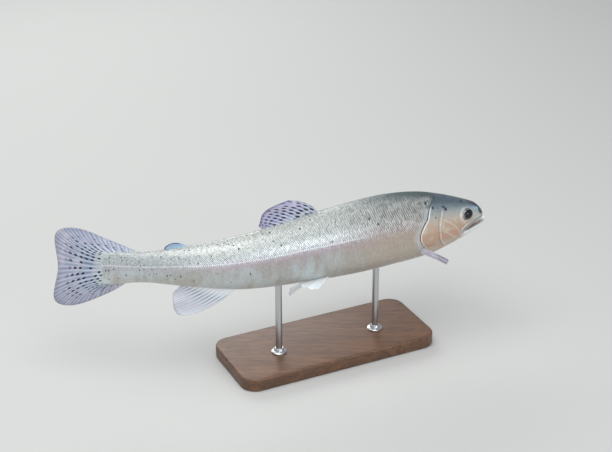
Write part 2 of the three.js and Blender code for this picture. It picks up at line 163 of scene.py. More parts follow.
# %% The curved spine
AXIS_HEIGHT = 108  # of the fish's axis above the floor
STAND_AT = 160  # the s of the fish that stands over the middle of the board
TOTAL_LENGTH = 401
ROLL = math.radians(9)
HEAD_TURN, TAIL_TURN = math.radians(26), math.radians(2)
TURN_START, TURN_END = 200, 320
SPINE_SPARE = 20  # the spine is laid out this far past both ends of the fish
STEM_START = 252.3  # front end of the solid tail stem, which the formula is checked against


def heading(s):
    return mix(HEAD_TURN, TAIL_TURN, smooth((s - TURN_START) / (TURN_END - TURN_START)))


spine_s = np.arange(-SPINE_SPARE, TOTAL_LENGTH + SPINE_SPARE + 1.0)
spine_x = np.concatenate([[0], np.cumsum(-np.cos(heading(spine_s[:-1] + 0.5)))])
spine_y = np.concatenate([[0], np.cumsum(-np.sin(heading(spine_s[:-1] + 0.5)))])


def spine_at(s):
    """Place of the spine seen from above, measured from the middle of the board."""
    x = np.interp(s, spine_s, spine_x) - np.interp(STAND_AT, spine_s, spine_x)
    y = np.interp(s, spine_s, spine_y) - np.interp(STAND_AT, spine_s, spine_y)
    return x, y


def bend(points):
    """Takes points of the straight fish, in millimetres, to their places in the frame, in metres."""
    s, y, z = points[..., 0], points[..., 1:2], points[..., 2:3]
    turn = heading(s)
    x0, y0 = spine_at(s)
    flat = np.zeros_like(s)
    left = np.stack([-np.sin(turn), np.cos(turn), flat], -1)
    out = left * math.cos(ROLL) - np.array([0, 0, math.sin(ROLL)])
    up = left * math.sin(ROLL) + np.array([0, 0, math.cos(ROLL)])
    return (np.stack([x0, y0, flat + AXIS_HEIGHT], -1) + out * y + up * z) * MM


def straight_fit():
    """How far the formula's box is from the box of a solid that it should match, in millimetres."""
    low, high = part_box("tail_stem")
    s, angle = np.meshgrid(np.linspace(STEM_START, BODY_LENGTH, 60), np.linspace(0, 2 * math.pi, 90))
    made = bend(body(s, angle)).reshape(-1, 3)
    return 1000 * max(np.abs(made.min(0) - low).max(), np.abs(made.max(0) - high).max())


print("formula and solid differ by", round(straight_fit(), 2), "mm")

# %% [markdown]
# ## Camera, light and floor
#
# The camera looks down on the fish's right side with a long lens, so the shape is hardly distorted. The
# light is that of a plain studio: a big soft source overhead for the gleam along the flank, weaker ones
# from the side, the front and the rear, and a pale surround. They come first so that every later step can
# be looked at.

# %% Camera
CAMERA_TARGET = Vector((-17.2, -3.5, 125.8)) * MM
CAMERA_DISTANCE = 1.254
CAMERA_ELEVATION = math.radians(26.2)


def add_object(name, data):
    made = bpy.data.objects.new(name, data)
    bpy.context.scene.collection.objects.link(made)
    return made


def look_along(viewer, direction):
    """Turns a camera or a lamp to face along a direction."""
    viewer.rotation_euler = direction.to_track_quat("-Z", "Y").to_euler()


lens = bpy.data.cameras.new("camera")
lens.lens = 85
lens.sensor_width = 36
lens.clip_start = 0.05
camera = add_object("camera", lens)
view_line = Vector((0, math.cos(CAMERA_ELEVATION), -math.sin(CAMERA_ELEVATION)))
camera.location = CAMERA_TARGET - view_line * CAMERA_DISTANCE
look_along(camera, view_line)
bpy.context.scene.camera = camera
print("camera height:", round(camera.location.z, 3), "m")


# %% Lights and surround
def soft_light(name, place, size, power, colour):
    lamp = bpy.data.lights.new(name, "AREA")
    lamp.shape = "RECTANGLE"
    lamp.size, lamp.size_y = size
    lamp.energy = power
    lamp.color = colour
    made = add_object(name, lamp)
    made.location = place
    look_along(made, Vector((0, 0, AXIS_HEIGHT * MM)) - Vector(place))


soft_light("light_over", (-0.25, -0.35, 1.3), (1.7, 1.0), 18, (1.0, 0.985, 0.96))
soft_light("light_side", (1.1, -0.9, 0.55), (0.3, 0.3), 3, (0.95, 0.98, 1.0))
soft_light("light_front", (0.35, -1.35, 0.25), (0.4, 0.4), 2, (0.97, 0.98, 1.0))
soft_light("light_rear", (-0.5, 1.2, 0.8), (1.2, 0.5), 8, (1.0, 0.98, 0.95))

surround = bpy.data.worlds.new("studio")
surround.use_nodes = True
surround.node_tree.nodes["Background"].inputs["Color"].default_value = (0.82, 0.86, 0.9, 1)
surround.node_tree.nodes["Background"].inputs["Strength"].default_value = 0.55
bpy.context.scene.world = surround
bpy.context.scene.view_settings.view_transform = "Standard"

# %% [markdown]
# ## Small helpers for materials
#
# A material is a graph of nodes. Writing each node out by hand hides what the graph does, so short helpers
# add a node with its values and its wires in one call. Colours are given as a painter would mix them, from
# 0 to 255, and are turned into the linear light that the shader works in.


# %% Node helpers
def add_node(tree, kind, wires=None, **settings):
    """Adds a node. wires maps an input's name or number to a value, or to the output that feeds it."""
    made = tree.nodes.new(kind)
    for name, value in settings.items():
        setattr(made, name, value)
    for key, value in (wires or {}).items():
        if isinstance(value, bpy.types.NodeSocket):
            tree.links.new(value, made.inputs[key])
        else:
            made.inputs[key].default_value = value
    return made


def math_of(tree, operation, a, b=0.0, clamped=False):
    return add_node(tree, "ShaderNodeMath", {0: a, 1: b}, operation=operation, use_clamp=clamped).outputs[0]


def product(tree, *factors):
    total = factors[0]
    for factor in factors[1:]:
        total = math_of(tree, "MULTIPLY", total, factor)
    return total


def opposite(tree, value):
    return math_of(tree, "SUBTRACT", 1.0, value)


def rescaled(tree, value, low, high, to_low, to_high):
    wires = {0: value, 1: low, 2: high, 3: to_low, 4: to_high}
    return add_node(tree, "ShaderNodeMapRange", wires).outputs[0]


def noise(tree, place, scale, detail, distortion=0.0):
    wires = {"Vector": place, "Scale": scale, "Detail": detail, "Distortion": distortion}
    return add_node(tree, "ShaderNodeTexNoise", wires).outputs["Fac"]


def chance(tree, dimensions, where):
    """A number from 0 to 1 that is random, but fixed for each place."""
    return add_node(tree, "ShaderNodeTexWhiteNoise", where, noise_dimensions=dimensions).outputs["Value"]


def combined(tree, x, y, z=0.0):
    return add_node(tree, "ShaderNodeCombineXYZ", {0: x, 1: y, 2: z}).outputs[0]


def separated(tree, place):
    return add_node(tree, "ShaderNodeSeparateXYZ", {0: place}).outputs


def length_of(tree, x, y):
    made = add_node(tree, "ShaderNodeVectorMath", {0: combined(tree, x, y)}, operation="LENGTH")
    return made.outputs["Value"]


def stretched(tree, place, scale, turn=0.0):
    wires = {"Vector": place, "Scale": scale, "Rotation": (0, 0, turn)}
    return add_node(tree, "ShaderNodeMapping", wires).outputs[0]


def paint(red, green, blue):
    """A colour as a painter gives it, from 0 to 255, in linear light."""
    shares = [c / 255 for c in (red, green, blue)]
    linear = [c / 12.92 if c <= 0.04 else ((c + 0.055) / 1.055) ** 2.4 for c in shares]
    return (*linear, 1.0)


def blend(tree, amount, under, over, how="MIX"):
    """One colour laid over another by an amount."""
    wires = {0: amount, 6: under, 7: over}
    made = add_node(tree, "ShaderNodeMix", wires, data_type="RGBA", blend_type=how, clamp_factor=True)
    return made.outputs[2]


def ramp(tree, value, stops):
    """Colours along a value from 0 to 1."""
    made = add_node(tree, "ShaderNodeValToRGB", {0: value})
    band = made.color_ramp
    while len(band.elements) < len(stops):
        band.elements.new(1.0)
    for element, (place, colour) in zip(band.elements, stops):
        element.position = place
        element.color = colour
    return made.outputs[0]


def between(tree, value, low, high):
    """0 below low, 1 above high, and a smooth rise from one to the other. high below low makes it fall."""
    wires = {0: value, 1: low, 2: high}
    return add_node(tree, "ShaderNodeMapRange", wires, interpolation_type="SMOOTHSTEP").outputs[0]


def read_value(tree, name):
    """A number that the mesh carries at each of its points."""
    return add_node(tree, "ShaderNodeAttribute", attribute_name=name).outputs["Fac"]


def read_place(tree, name):
    """A place or direction that the mesh carries at each of its points."""
    return add_node(tree, "ShaderNodeAttribute", attribute_name=name).outputs["Vector"]


def wire(tree, node, results):
    """Feeds the named inputs of a node."""
    for title, result in results.items():
        tree.links.new(result, node.inputs[title])


def bump(tree, shader, height, strength, distance):
    """Lets a height, which rises from 0 to 1, show as relief of a depth in metres."""
    wires = {"Height": height, "Strength": strength, "Distance": distance}
    wire(tree, shader, {"Normal": add_node(tree, "ShaderNodeBump", wires).outputs[0]})


def new_group(name, inputs, outputs):
    """A node group with named inputs and outputs. Returns the group, its input node and its output node."""
    group = bpy.data.node_groups.new(name, "ShaderNodeTree")
    for title, kind in inputs.items():
        group.interface.new_socket(name=title, in_out="INPUT", socket_type=kind)
    for title, kind in outputs.items():
        group.interface.new_socket(name=title, in_out="OUTPUT", socket_type=kind)
    return group, group.nodes.new("NodeGroupInput"), group.nodes.new("NodeGroupOutput")


def new_material(name, **constants):
    """A material with one Principled shader. Constants go straight onto its sockets."""
    made = bpy.data.materials.new(name)
    made.use_nodes = True
    shader = made.node_tree.nodes["Principled BSDF"]
    for socket, value in constants.items():
        shader.inputs[socket.replace("_", " ")].default_value = value
    return made, made.node_tree, shader


print("paint(128, 128, 128) is", [round(c, 3) for c in paint(128, 128, 128)[:3]])

# %% [markdown]
# ## The markings of a trout
#
# A rainbow trout is dark over the back, bright silver on the upper flank, with a rose band along the
# lateral line and a plain pale belly. Small black spots lie on the back and are thickest on the tail stem.
# Skin and scales are separate meshes, so the markings, with the painted shade, sheen and highlights that
# go with them, are one node group that both use. It reads two things that every point of the fish
# carries: its place on the straight fish, and how far round the section it lies, from 0 at the back to 1
# at the belly.

# %% Colours along the body
# Each band is a list of (how far round from the back, red, green, blue).
SHOULDER_BAND = [(0, 80, 96, 98), (0.12, 84, 98, 98), (0.24, 90, 94, 84), (0.36, 112, 110, 98),
                 (0.43, 164, 148, 142), (0.5, 180, 161, 148), (0.64, 184, 170, 152), (0.78, 176, 164, 150),
                 (1, 216, 210, 200)]
FLANK_BAND = [(0, 120, 130, 124), (0.1, 160, 168, 160), (0.2, 186, 194, 188), (0.32, 194, 204, 202),
              (0.41, 188, 196, 202), (0.465, 184, 170, 184), (0.52, 174, 162, 165), (0.6, 176, 176, 174),
              (0.75, 186, 190, 186), (1, 224, 223, 217)]
STEM_BAND = [(0, 110, 120, 120), (0.12, 142, 150, 148), (0.26, 154, 164, 164), (0.4, 150, 160, 164),
             (0.48, 168, 168, 174), (0.6, 172, 178, 178), (0.75, 176, 174, 162), (1, 208, 206, 198)]
HEAD_BAND = [(0, 66, 78, 88), (0.2, 78, 92, 102), (0.28, 112, 124, 132), (0.36, 156, 160, 160),
             (0.44, 184, 174, 160), (0.55, 182, 160, 138), (0.68, 180, 156, 138), (0.8, 184, 172, 158),
             (1, 220, 214, 208)]
# on the snout, the bright stop at 0.3, just under the dark top, is a painted highlight along the snout
SNOUT_BAND = [(0, 8, 10, 34), (0.2, 14, 20, 50), (0.25, 96, 118, 146), (0.3, 178, 200, 214),
              (0.36, 140, 160, 168), (0.44, 168, 182, 176), (0.58, 190, 192, 186), (0.68, 226, 234, 236),
              (1, 228, 228, 224)]

# s, height, radius of the few spots that every fish of this pattern wears on its head and nape
HEAD_SPOTS = [(66.1, 21, 1.7), (65, 16.8, 1.7), (60.2, 16, 1.3), (46.8, 12.1, 1.8), (48.6, 14.4, 1.3),
              (42, 21, 0.9), (55.5, 22.5, 1.0), (59.5, 7.5, 0.9), (17.2, 11.2, 1.5), (26, 13.6, 1.4),
              (4.6, 2.4, 5.6)]
SIDES_APART = 500.0  # the two sides take their spots from places this far apart, so that they differ


def band(tree, girth, stops):
    return ramp(tree, girth, [(place, paint(*colour)) for place, *colour in stops])


def head_spots(tree, side_view):
    """1 inside each of the head's named spots, on both sides."""
    total = None
    for s, z, radius in HEAD_SPOTS:
        reach = add_node(tree, "ShaderNodeVectorMath", {0: side_view, 1: (s, 0, z)}, operation="DISTANCE")
        spot = between(tree, reach.outputs["Value"], radius, radius * 0.65)
        total = spot if total is None else math_of(tree, "MAXIMUM", total, spot)
    return total


def unrolled(tree, s, girth, side, half_girth):
    """A flat place on the unrolled body, in millimetres along it and round it."""
    apart = product(tree, math_of(tree, "SIGN", side), SIDES_APART)
    return combined(tree, s, math_of(tree, "ADD", product(tree, girth, half_girth), apart))


def scattered_spots(tree, flat_place, every, size, share):
    """Small round spots, at most one in each cell of a random pattern. every and size are millimetres."""
    wires = {"Vector": flat_place, "Scale": 1 / every, "Randomness": 0.95}
    cells = add_node(tree, "ShaderNodeTexVoronoi", wires, feature="F1", voronoi_dimensions="2D")
    luck = add_node(tree, "ShaderNodeSeparateColor", {0: cells.outputs["Color"]})
    radius = product(tree, math_of(tree, "ADD", luck.outputs[1], 0.7), size / every)
    inside = math_of(tree, "SUBTRACT", radius, cells.outputs["Distance"])
    soft = between(tree, inside, 0, 0.3 / every)
    chosen = math_of(tree, "LESS_THAN", luck.outputs[0], share)
    return product(tree, soft, chosen)


# %% Layers of the markings
def ground_colours(group, place, s, girth, on_head):
    """The bands of colour round the fish, each blended into the next along the body."""
    waver = rescaled(group, noise(group, place, 0.055, 4.0), 0, 1, -0.04, 0.04)
    level = math_of(group, "ADD", girth, waver, clamped=True)
    snout, head, shoulder, flank, stem = [
        band(group, level, stops) for stops in (SNOUT_BAND, HEAD_BAND, SHOULDER_BAND, FLANK_BAND, STEM_BAND)]
    trunk = blend(group, between(group, s, 95, 190), shoulder, flank)
    trunk = blend(group, between(group, s, 235, 310), trunk, stem)
    return blend(group, on_head, trunk, blend(group, between(group, s, 9, 20), snout, head))


def lay_clouds(group, colour, place, s, girth, on_head, fleck):
    """Soft patches: blue-silver and brown on the lower flank, warm and pale on the cheek, dark on the crown."""
    streak = noise(group, stretched(group, place, (0.1, 0.03, 0.03)), 1.3, 6.0)
    blush = noise(group, place, 0.12, 6.0)
    low_flank = product(group, between(group, girth, 0.48, 0.56), between(group, s, 110, 190),
                        opposite(group, on_head))
    cheek = product(group, on_head, between(group, girth, 0.36, 0.5))
    crown = product(group, on_head, between(group, girth, 0.42, 0.3))
    for pattern, low, high, where, strength, over in (
        (streak, 0.4, 0.72, low_flank, 0.55, (198, 208, 214)),
        (streak, 0.56, 0.32, low_flank, 0.42, (160, 150, 138)),
        (blush, 0.42, 0.7, cheek, 0.7, (200, 148, 124)),
        (blush, 0.5, 0.34, cheek, 0.6, (210, 198, 176)),
        (fleck, 0.5, 0.7, crown, 0.4, (46, 58, 70)),
    ):
        amount = product(group, between(group, pattern, low, high), where, strength)
        colour = blend(group, amount, colour, paint(*over))
    return colour


def lay_tone(group, colour, tone, s, girth):
    """Lays each scale's tone: painted shade where it comes out from under the next, a painted sheen
    towards its free edge, and its own random lighter or darker tone.
    """
    lively = product(group, between(group, girth, 0.52, 0.42), rescaled(group, s, 250, 340, 0.7, 0.4))
    lively = math_of(group, "ADD", lively, 0.3)
    # the darkening is painted shade and the near-white is a painted sheen, both strongest above the lateral line
    painted_shade = product(group, rescaled(group, tone, 0.5, 0.0, 0.0, 1.0), lively)
    painted_sheen = product(group, rescaled(group, tone, 0.5, 1.0, 0.0, 0.95), lively)
    colour = blend(group, painted_shade, colour, paint(78, 80, 76), how="MULTIPLY")
    return blend(group, painted_sheen, colour, paint(250, 252, 252))


def black_spots(group, s, side, height, girth):
    """Small black spots: few and scattered in front, more and closer on the tail stem, and the head's own."""
    front = product(group, scattered_spots(group, unrolled(group, s, girth, side, 85), 6.5, 0.72, 0.17),
                    between(group, girth, 0.47, 0.42), between(group, s, 56, 66))
    crowding = rescaled(group, s, 225, 320, 0.0, 0.5)
    rear = product(group, scattered_spots(group, unrolled(group, s, girth, side, 42), 3.7, 0.5, crowding),
                   between(group, girth, 0.8, 0.66))
    spots = product(group, math_of(group, "MAXIMUM", front, rear), between(group, girth, 0.0, 0.03))
    return math_of(group, "MAXIMUM", spots, head_spots(group, combined(group, s, 0.0, height)))


# %% The markings group, with painted shade and sheen
def make_markings_and_painted_light():
    outputs = {"Colour": "NodeSocketColor", "Silver": "NodeSocketFloat", "Roughness": "NodeSocketFloat"}
    group, taken, given = new_group("trout_markings_and_painted_light", {"Tone": "NodeSocketFloat"}, outputs)
    tone = taken.outputs["Tone"]
    place = read_place(group, "fish")
    girth, on_head, mouth = [read_value(group, name) for name in ("girth", "head", "mouth")]
    s, side, height = separated(group, place)
    fleck = noise(group, place, 0.5, 4.0)

    colour = ground_colours(group, place, s, girth, on_head)
    colour = lay_clouds(group, colour, place, s, girth, on_head, fleck)
    colour = lay_tone(group, colour, tone, s, girth)
    spots = black_spots(group, s, side, height, girth)
    colour = blend(group, product(group, spots, 0.9), colour, paint(22, 26, 42))
    colour = blend(group, read_value(group, "pale"), colour, paint(234, 243, 248))
    # the shade blend is painted shade in the head's grooves, nostrils and gill folds, and on the lip bones also
    # their own darker tint
    colour = blend(group, read_value(group, "shade"), colour, paint(84, 62, 54))
    # the mouth's lining is paler at the lips and darker and redder towards the throat: its own redder flesh, with
    # painted shade deeper in
    depths = [(0, paint(232, 222, 218)), (0.5, paint(196, 164, 160)), (1, paint(140, 90, 84))]
    colour = blend(group, between(group, mouth, 0.0, 0.12), colour, ramp(group, mouth, depths))

    silver = product(group, rescaled(group, girth, 0.0, 0.3, 0.12, 0.36), between(group, girth, 1.25, 0.5),
                     rescaled(group, on_head, 0, 1, 1.0, 0.4), rescaled(group, s, 220, 310, 1.0, 0.4),
                     opposite(group, spots), rescaled(group, mouth, 0, 0.05, 1.0, 0.0),
                     rescaled(group, tone, 0.0, 1.0, 0.5, 1.5))
    rough = rescaled(group, fleck, 0.3, 0.7, 0.32, 0.46)
    wire(group, given, {"Colour": colour, "Silver": silver, "Roughness": rough})
    return group


markings_and_painted_light = make_markings_and_painted_light()
print("markings nodes:", len(markings_and_painted_light.nodes))


# %% Skin and scale finishes
PLATE_JOINT = (50.0, 9.0)  # s and height of the place that the grooves of a gill cover fan out from


def wear_markings_and_painted_light(tree, shader, tone):
    """Lays the markings, with their painted shade and sheen, on a material's shader. tone is what varies the
    scales, with their painted shade and sheen: a number or an output.
    """
    worn = add_node(tree, "ShaderNodeGroup", {"Tone": tone}, node_tree=markings_and_painted_light).outputs
    wire(tree, shader, {"Base Color": worn["Colour"], "Metallic": worn["Silver"], "Roughness": worn["Roughness"]})


def make_skin_finish():
    """Wet skin, with fine pores, and with faint grooves that fan out over the plates of the gill covers."""
    finish, tree, shader = new_material(
        "wet_skin", Coat_Weight=0.25, Coat_Roughness=0.12, Specular_IOR_Level=0.35)
    wear_markings_and_painted_light(tree, shader, 0.5)
    place = read_place(tree, "fish")
    s, _, height = separated(tree, place)
    behind = math_of(tree, "SUBTRACT", s, PLATE_JOINT[0])
    above = math_of(tree, "SUBTRACT", height, PLATE_JOINT[1])
    turn = math_of(tree, "ARCTAN2", above, behind)
    grooves = noise(tree, combined(tree, product(tree, turn, 16.0), product(tree, s, 0.08)), 1.0, 4.0)
    on_plate = product(tree, between(tree, s, 54, 60), between(tree, height, 16, 10))
    uneven = math_of(tree, "ADD", noise(tree, place, 1.1, 5.0), product(tree, grooves, on_plate, 1.2))
    bump(tree, shader, uneven, 0.3, 0.0005)
    return finish


def make_scale_finish():
    finish, tree, shader = new_material(
        "scale", Coat_Weight=0.15, Coat_Roughness=0.25, Specular_IOR_Level=0.5)
    wear_markings_and_painted_light(tree, shader, read_value(tree, "tone"))
    return finish


skin_finish = make_skin_finish()
scale_finish = make_scale_finish()
print("finishes:", skin_finish.name, scale_finish.name)

# %% [markdown]
# ## The skin
#
# On the real fish the head is bone under thin skin, with hard plates over the gills, and the rest is flesh
# under scales. One way to make it is to sculpt a closed lump. Here a flat grid is wrapped round the outline
# instead: its rows become rings round the body and its columns run from the snout to the tail. Two rows of
# the grid are steered along real edges, the line of the lips and the rear edge of the gill covers, so that
# those edges are crisp. The grid is split along the lips, the lower half is swung open as a jaw, and fine
# features are raised or sunk along the way out of the body.

# %% Rings of the skin
SIDE_COLUMNS = 100  # columns of the grid on each side
MOUTH_COLUMN = 61  # the column that follows the line of the lips
GILL_STATION = 65.0  # the ring that follows the rear edge of the gill covers
SNOUT_RINGS = 24
FINE_STEP, COARSE_STEP = 0.62, 1.8  # spacing of the rings on the head and on the trunk
COARSE_FROM, COARSE_OVER = 84, 30  # where the spacing starts to grow, and over what length
CORNER_STATION = 30  # the ring nearest to this place holds the corners of the mouth
SUNK_OVER = 7  # the body is sunk behind the gill covers, and rises again over this length
# The folded edge of a gill cover: how far each of its rings is shifted back, and how high it stands
GILL_FOLD = [(0.0, 0.6), (0.12, 0.32), (-0.1, 0.0), (-1.3, -0.3), (-1.4, -0.8), (0.3, -1.0)]


def ring_stations():
    places = list(SNOUT_ROUND * (1 - np.cos(np.linspace(0, math.pi / 2, SNOUT_RINGS + 1))))
    while places[-1] < TAPER_END:
        step = mix(FINE_STEP, COARSE_STEP, smooth((places[-1] - COARSE_FROM) / COARSE_OVER))
        places.append(min(places[-1] + step, TAPER_END))
    ahead = [p for p in places if p < GILL_STATION - FINE_STEP / 2]
    behind = [p for p in places if p > GILL_STATION + FINE_STEP * 1.5]
    fold = [GILL_STATION + 0.1 * k for k in range(len(GILL_FOLD))]
    return np.array(ahead + fold + behind), len(ahead)


stations, gill_ring = ring_stations()
fold_shift, fold_lift = np.zeros(len(stations)), np.zeros(len(stations))
for k, (shift, lift) in enumerate(GILL_FOLD):
    fold_shift[gill_ring + k] = shift
    fold_lift[gill_ring + k] = lift
behind_fold = gill_ring + len(GILL_FOLD)
past_fold = stations[behind_fold:] - stations[behind_fold - 1]
fold_lift[behind_fold:] = smooth(past_fold / SUNK_OVER) - 1
corner_ring = int(np.argmin(np.abs(stations - CORNER_STATION)))
print("rings:", len(stations), "corner of the mouth at ring", corner_ring, "gill edge at ring", gill_ring)

# %% The line of the lips, and the rear edge of the gill covers
MOUTH_FRONT, MOUTH_BOW, MOUTH_CORNER = (-3, -3), (16, -7.4), (stations[corner_ring], -14)
JAW_HINGE = np.array([45, 0, -18])
JAW_DROP = math.radians(5)
JAW_REACH = 1.035


def mouth_angle(s):
    """How far round from the back the line of the lips lies, at each place along the head."""
    s = np.clip(s, 2.0, MOUTH_CORNER[0])
    a = MOUTH_FRONT[0] - 2 * MOUTH_BOW[0] + MOUTH_CORNER[0]
    b = 2 * (MOUTH_BOW[0] - MOUTH_FRONT[0])
    t = (-b + np.sqrt(b * b - 4 * a * (MOUTH_FRONT[0] - s))) / (2 * a)
    z = (1 - t) ** 2 * MOUTH_FRONT[1] + 2 * t * (1 - t) * MOUTH_BOW[1] + t * t * MOUTH_CORNER[1]
    share = (wide(s) - z) / ((wide(s) - belly(s)) * opened(s))
    return math.pi / 2 + np.arcsin(np.clip(share, 0, 1) ** (square_belly(s) / 2))


gill_edge_at = faired(
    np.radians([0, 25, 40, 48, 60, 74, 83, 92, 103, 112, 121, 135, 147, 156, 168, 180]),
    [50, 52.5, 57.5, 61.5, 65, 68.3, 72.4, 75.3, 76.2, 74.6, 71.6, 65.5, 60.5, 57, 52, 48],
)


def gill_freedom(angle):
    """1 where the gill cover's rear edge stands free of the body, 0 where it grows into it."""
    return smooth((angle - math.radians(43)) / 0.25) * (1 - smooth((angle - math.radians(163)) / 0.2))


def steering_left(station):
    """How much the rings behind the gill covers still follow their edge, from 1 down to 0."""
    return 1 - smooth((station - GILL_STATION - 0.5) / 36)


def steered(ring, column):
    """Where a point of the grid lies along and round the body, on which side, and its gill fold."""
    side = np.where((column >= 0) & (column <= SIDE_COLUMNS), 1.0, -1.0)
    even = np.where(column > SIDE_COLUMNS, 2 * SIDE_COLUMNS - column, np.abs(column)) / SIDE_COLUMNS * math.pi
    number = np.arange(len(stations))
    station = np.interp(ring, number, stations)
    line = MOUTH_COLUMN / SIDE_COLUMNS * math.pi
    pull = np.where(even < line, smooth(even / line), smooth((math.pi - even) / (math.pi - line)))
    angle = even + (mouth_angle(station) - line) * pull * (1 - smooth((station - MOUTH_CORNER[0]) / 25))
    pulled_back = np.minimum(smooth((station - 32) / 33), steering_left(station))
    s = station + (gill_edge_at(angle) - GILL_STATION) * pulled_back
    free = gill_freedom(angle)
    s = s + np.interp(ring, number, fold_shift) * free
    return s, angle, side, np.interp(ring, number, fold_lift) * free


print("lips at", np.degrees(mouth_angle(np.array([2.0, 9.0, 30.0]))).round(), "degrees round from the back")


# %% Fine relief of the head
def side_path(*places):
    """A line drawn on the side view of the fish, as many close points."""
    places = np.array(places, float)
    knots = np.linspace(0, 1, len(places))
    fine = np.linspace(0, 1, 80)
    return np.stack([faired(knots, places[:, 0])(fine), faired(knots, places[:, 1])(fine)], -1)


def off_line(path, s, z, shift=0.0):
    """How far each point is from a line, seen from the side."""
    gap = np.stack([s, z], -1)[..., None, :] - path - np.array([shift, 0])
    return np.sqrt((gap**2).sum(-1)).min(-1)


def hump(distance, width):
    return np.exp(-((distance / width) ** 2))


EYE = {"s": 23.3, "z": 2.1, "radius": 5.5, "stretch": 1.16, "depth": 4.6, "proud": 2.3}
NOSTRILS = [(8.6, 3.4, 0.75), (11.0, 4.6, 0.6)]
CHEEK_EDGE = side_path((50.6, 11.5), (54.6, 1.5), (55.4, -6.6), (53.2, -15.5), (49.2, -20.6), (42, -25.0))
UPPER_CREASE = side_path((50.2, 3.4), (42.9, -1.4), (36.6, -7.1), (31.8, -13.2), (28, -18))
LOWER_CREASE = side_path((49.0, -8.3), (41.5, -13.4), (36.5, -18.0))
LOWER_PLATE = side_path((56.5, -12.6), (63, -17.6), (72, -16.4))
THROAT_PLATE = side_path((54, -17.5), (49.5, -22.8), (41, -27.0))
BROW = side_path((13, 7.2), (19, 10.6), (27, 10.8), (33, 7.2))


def eye_reach(s, z):
    """How far a place is from the middle of the eye, measured so that the slightly long socket is round."""
    return np.hypot((s - EYE["s"]) / EYE["stretch"], z - EYE["z"])


def relief(s, angle, z):
    """How far the skin is raised in millimetres, and where it is gill plate, pale and dark, from 0 to 1. The
    dark is painted shade in the grooves of the head and in the nostrils.
    """
    beside = smooth((angle - 0.35) / 0.4)
    from_eye = eye_reach(s, z)
    socket = EYE["radius"] - 0.5
    raised = -2.6 * (1 - smooth((from_eye - socket + 0.9) / 0.9)) * beside
    raised += 0.42 * hump(from_eye - socket - 0.75, 0.75) * beside
    raised -= 0.22 * hump(from_eye - socket - 2.9, 0.9) * beside
    raised += 0.35 * hump(off_line(BROW, s, z), 1.3) * beside
    lid = 0.7 * hump(from_eye - socket - 0.6, 0.8)
    lid = (lid + (0.3 + 0.8 * smooth((s - EYE["s"]) / 5)) * hump(from_eye - socket - 2.2, 1.2)) * beside

    edge = off_line(CHEEK_EDGE, s, z)
    raised += 0.45 * hump(edge, 0.8) - 0.5 * hump(off_line(CHEEK_EDGE, s, z, 1.6), 0.75)
    crease = off_line(UPPER_CREASE, s, z)
    raised += 0.26 * hump(crease, 0.6) - 0.2 * hump(off_line(UPPER_CREASE, s, z, -1.2), 0.7)
    second = off_line(LOWER_CREASE, s, z)
    raised += 0.2 * hump(second, 0.55) - 0.15 * hump(off_line(LOWER_CREASE, s, z, -1.1), 0.6)
    raised -= 0.3 * hump(off_line(LOWER_PLATE, s, z), 0.55) + 0.3 * hump(off_line(THROAT_PLATE, s, z), 0.6)
    plate = smooth((s - 55) / 4) * (1 - smooth(s - 78))
    plate *= smooth((angle - math.radians(48)) / 0.12) * (1 - smooth((angle - 2.75) / 0.2))

    rays_area = smooth((angle - math.radians(141)) / 0.12) * smooth((s - 36) / 6) * (1 - smooth((s - 60) / 3))
    raised += 0.16 * rays_area * np.cos(angle * 72)
    from_middle = (math.pi - angle) * half(s)
    raised -= 0.4 * hump(from_middle - 1.2 - 0.13 * s, 0.9) * smooth((s - 3) / 5) * (1 - smooth((s - 34) / 6))

    nostril = np.zeros_like(s)
    for place, height, size in NOSTRILS:
        reach = np.hypot(s - place, z - height)
        raised += (0.3 * hump(reach - size - 0.35, 0.35) - 0.9 * hump(reach, size)) * beside
        nostril += hump(reach, size * 0.9) * beside

    lip = (angle - mouth_angle(s)) * half(s)
    ahead = 1 - smooth((s - 25) / 5)
    raised += 0.3 * hump(lip, 1.1) * ahead
    pale = 0.75 * hump(edge, 0.36) + 0.55 * hump(crease, 0.38) + 0.4 * hump(second, 0.4) + 0.24 * lid
    pale += 1.1 * hump(lip - 2.8, 3.4) * ahead
    # dark is painted shade: in the groove behind the cheek's edge, in the nostrils, and along the sunk lines of
    # the lower plates
    dark = 0.3 * hump(off_line(CHEEK_EDGE, s, z, 1.5), 0.5) + 0.9 * nostril
    dark += 0.25 * hump(off_line(LOWER_PLATE, s, z), 0.5) + 0.2 * hump(off_line(THROAT_PLATE, s, z), 0.5)
    return raised, plate, np.clip(pale, 0, 1), np.clip(dark, 0, 1)


# %% The grid becomes a skin
def open_jaw(points, s, angle, lower):
    """Swings the lower half of the front of the head down about the jaw's hinge."""
    below = smooth((angle - mouth_angle(s)) / math.radians(25))
    start, end = mix(22, 34, below), mix(MOUTH_CORNER[0], 47, below)
    weight = lower * (1 - smooth((s - start) / (end - start)))
    away = points - JAW_HINGE
    x, z = away[:, 0] * JAW_REACH, away[:, 2]
    turned = np.stack([x * math.cos(JAW_DROP) - z * math.sin(JAW_DROP), away[:, 1],
                       x * math.sin(JAW_DROP) + z * math.cos(JAW_DROP)], -1)
    return points + (turned + JAW_HINGE - points) * weight[:, None]


def add_patch(bm, rings, columns):
    """A grid over a range of rings and of columns, with its x the ring and its y the column."""
    steps = (rings[1] - rings[0], columns[1] - columns[0])
    made = bmesh.ops.create_grid(bm, x_segments=steps[0], y_segments=steps[1], size=0.5)["verts"]
    place = Matrix.Translation(((rings[0] + rings[1]) / 2, (columns[0] + columns[1]) / 2, 0))
    bmesh.ops.transform(bm, matrix=place @ Matrix.Diagonal((steps[0], steps[1], 1, 1)), verts=made)
    return made


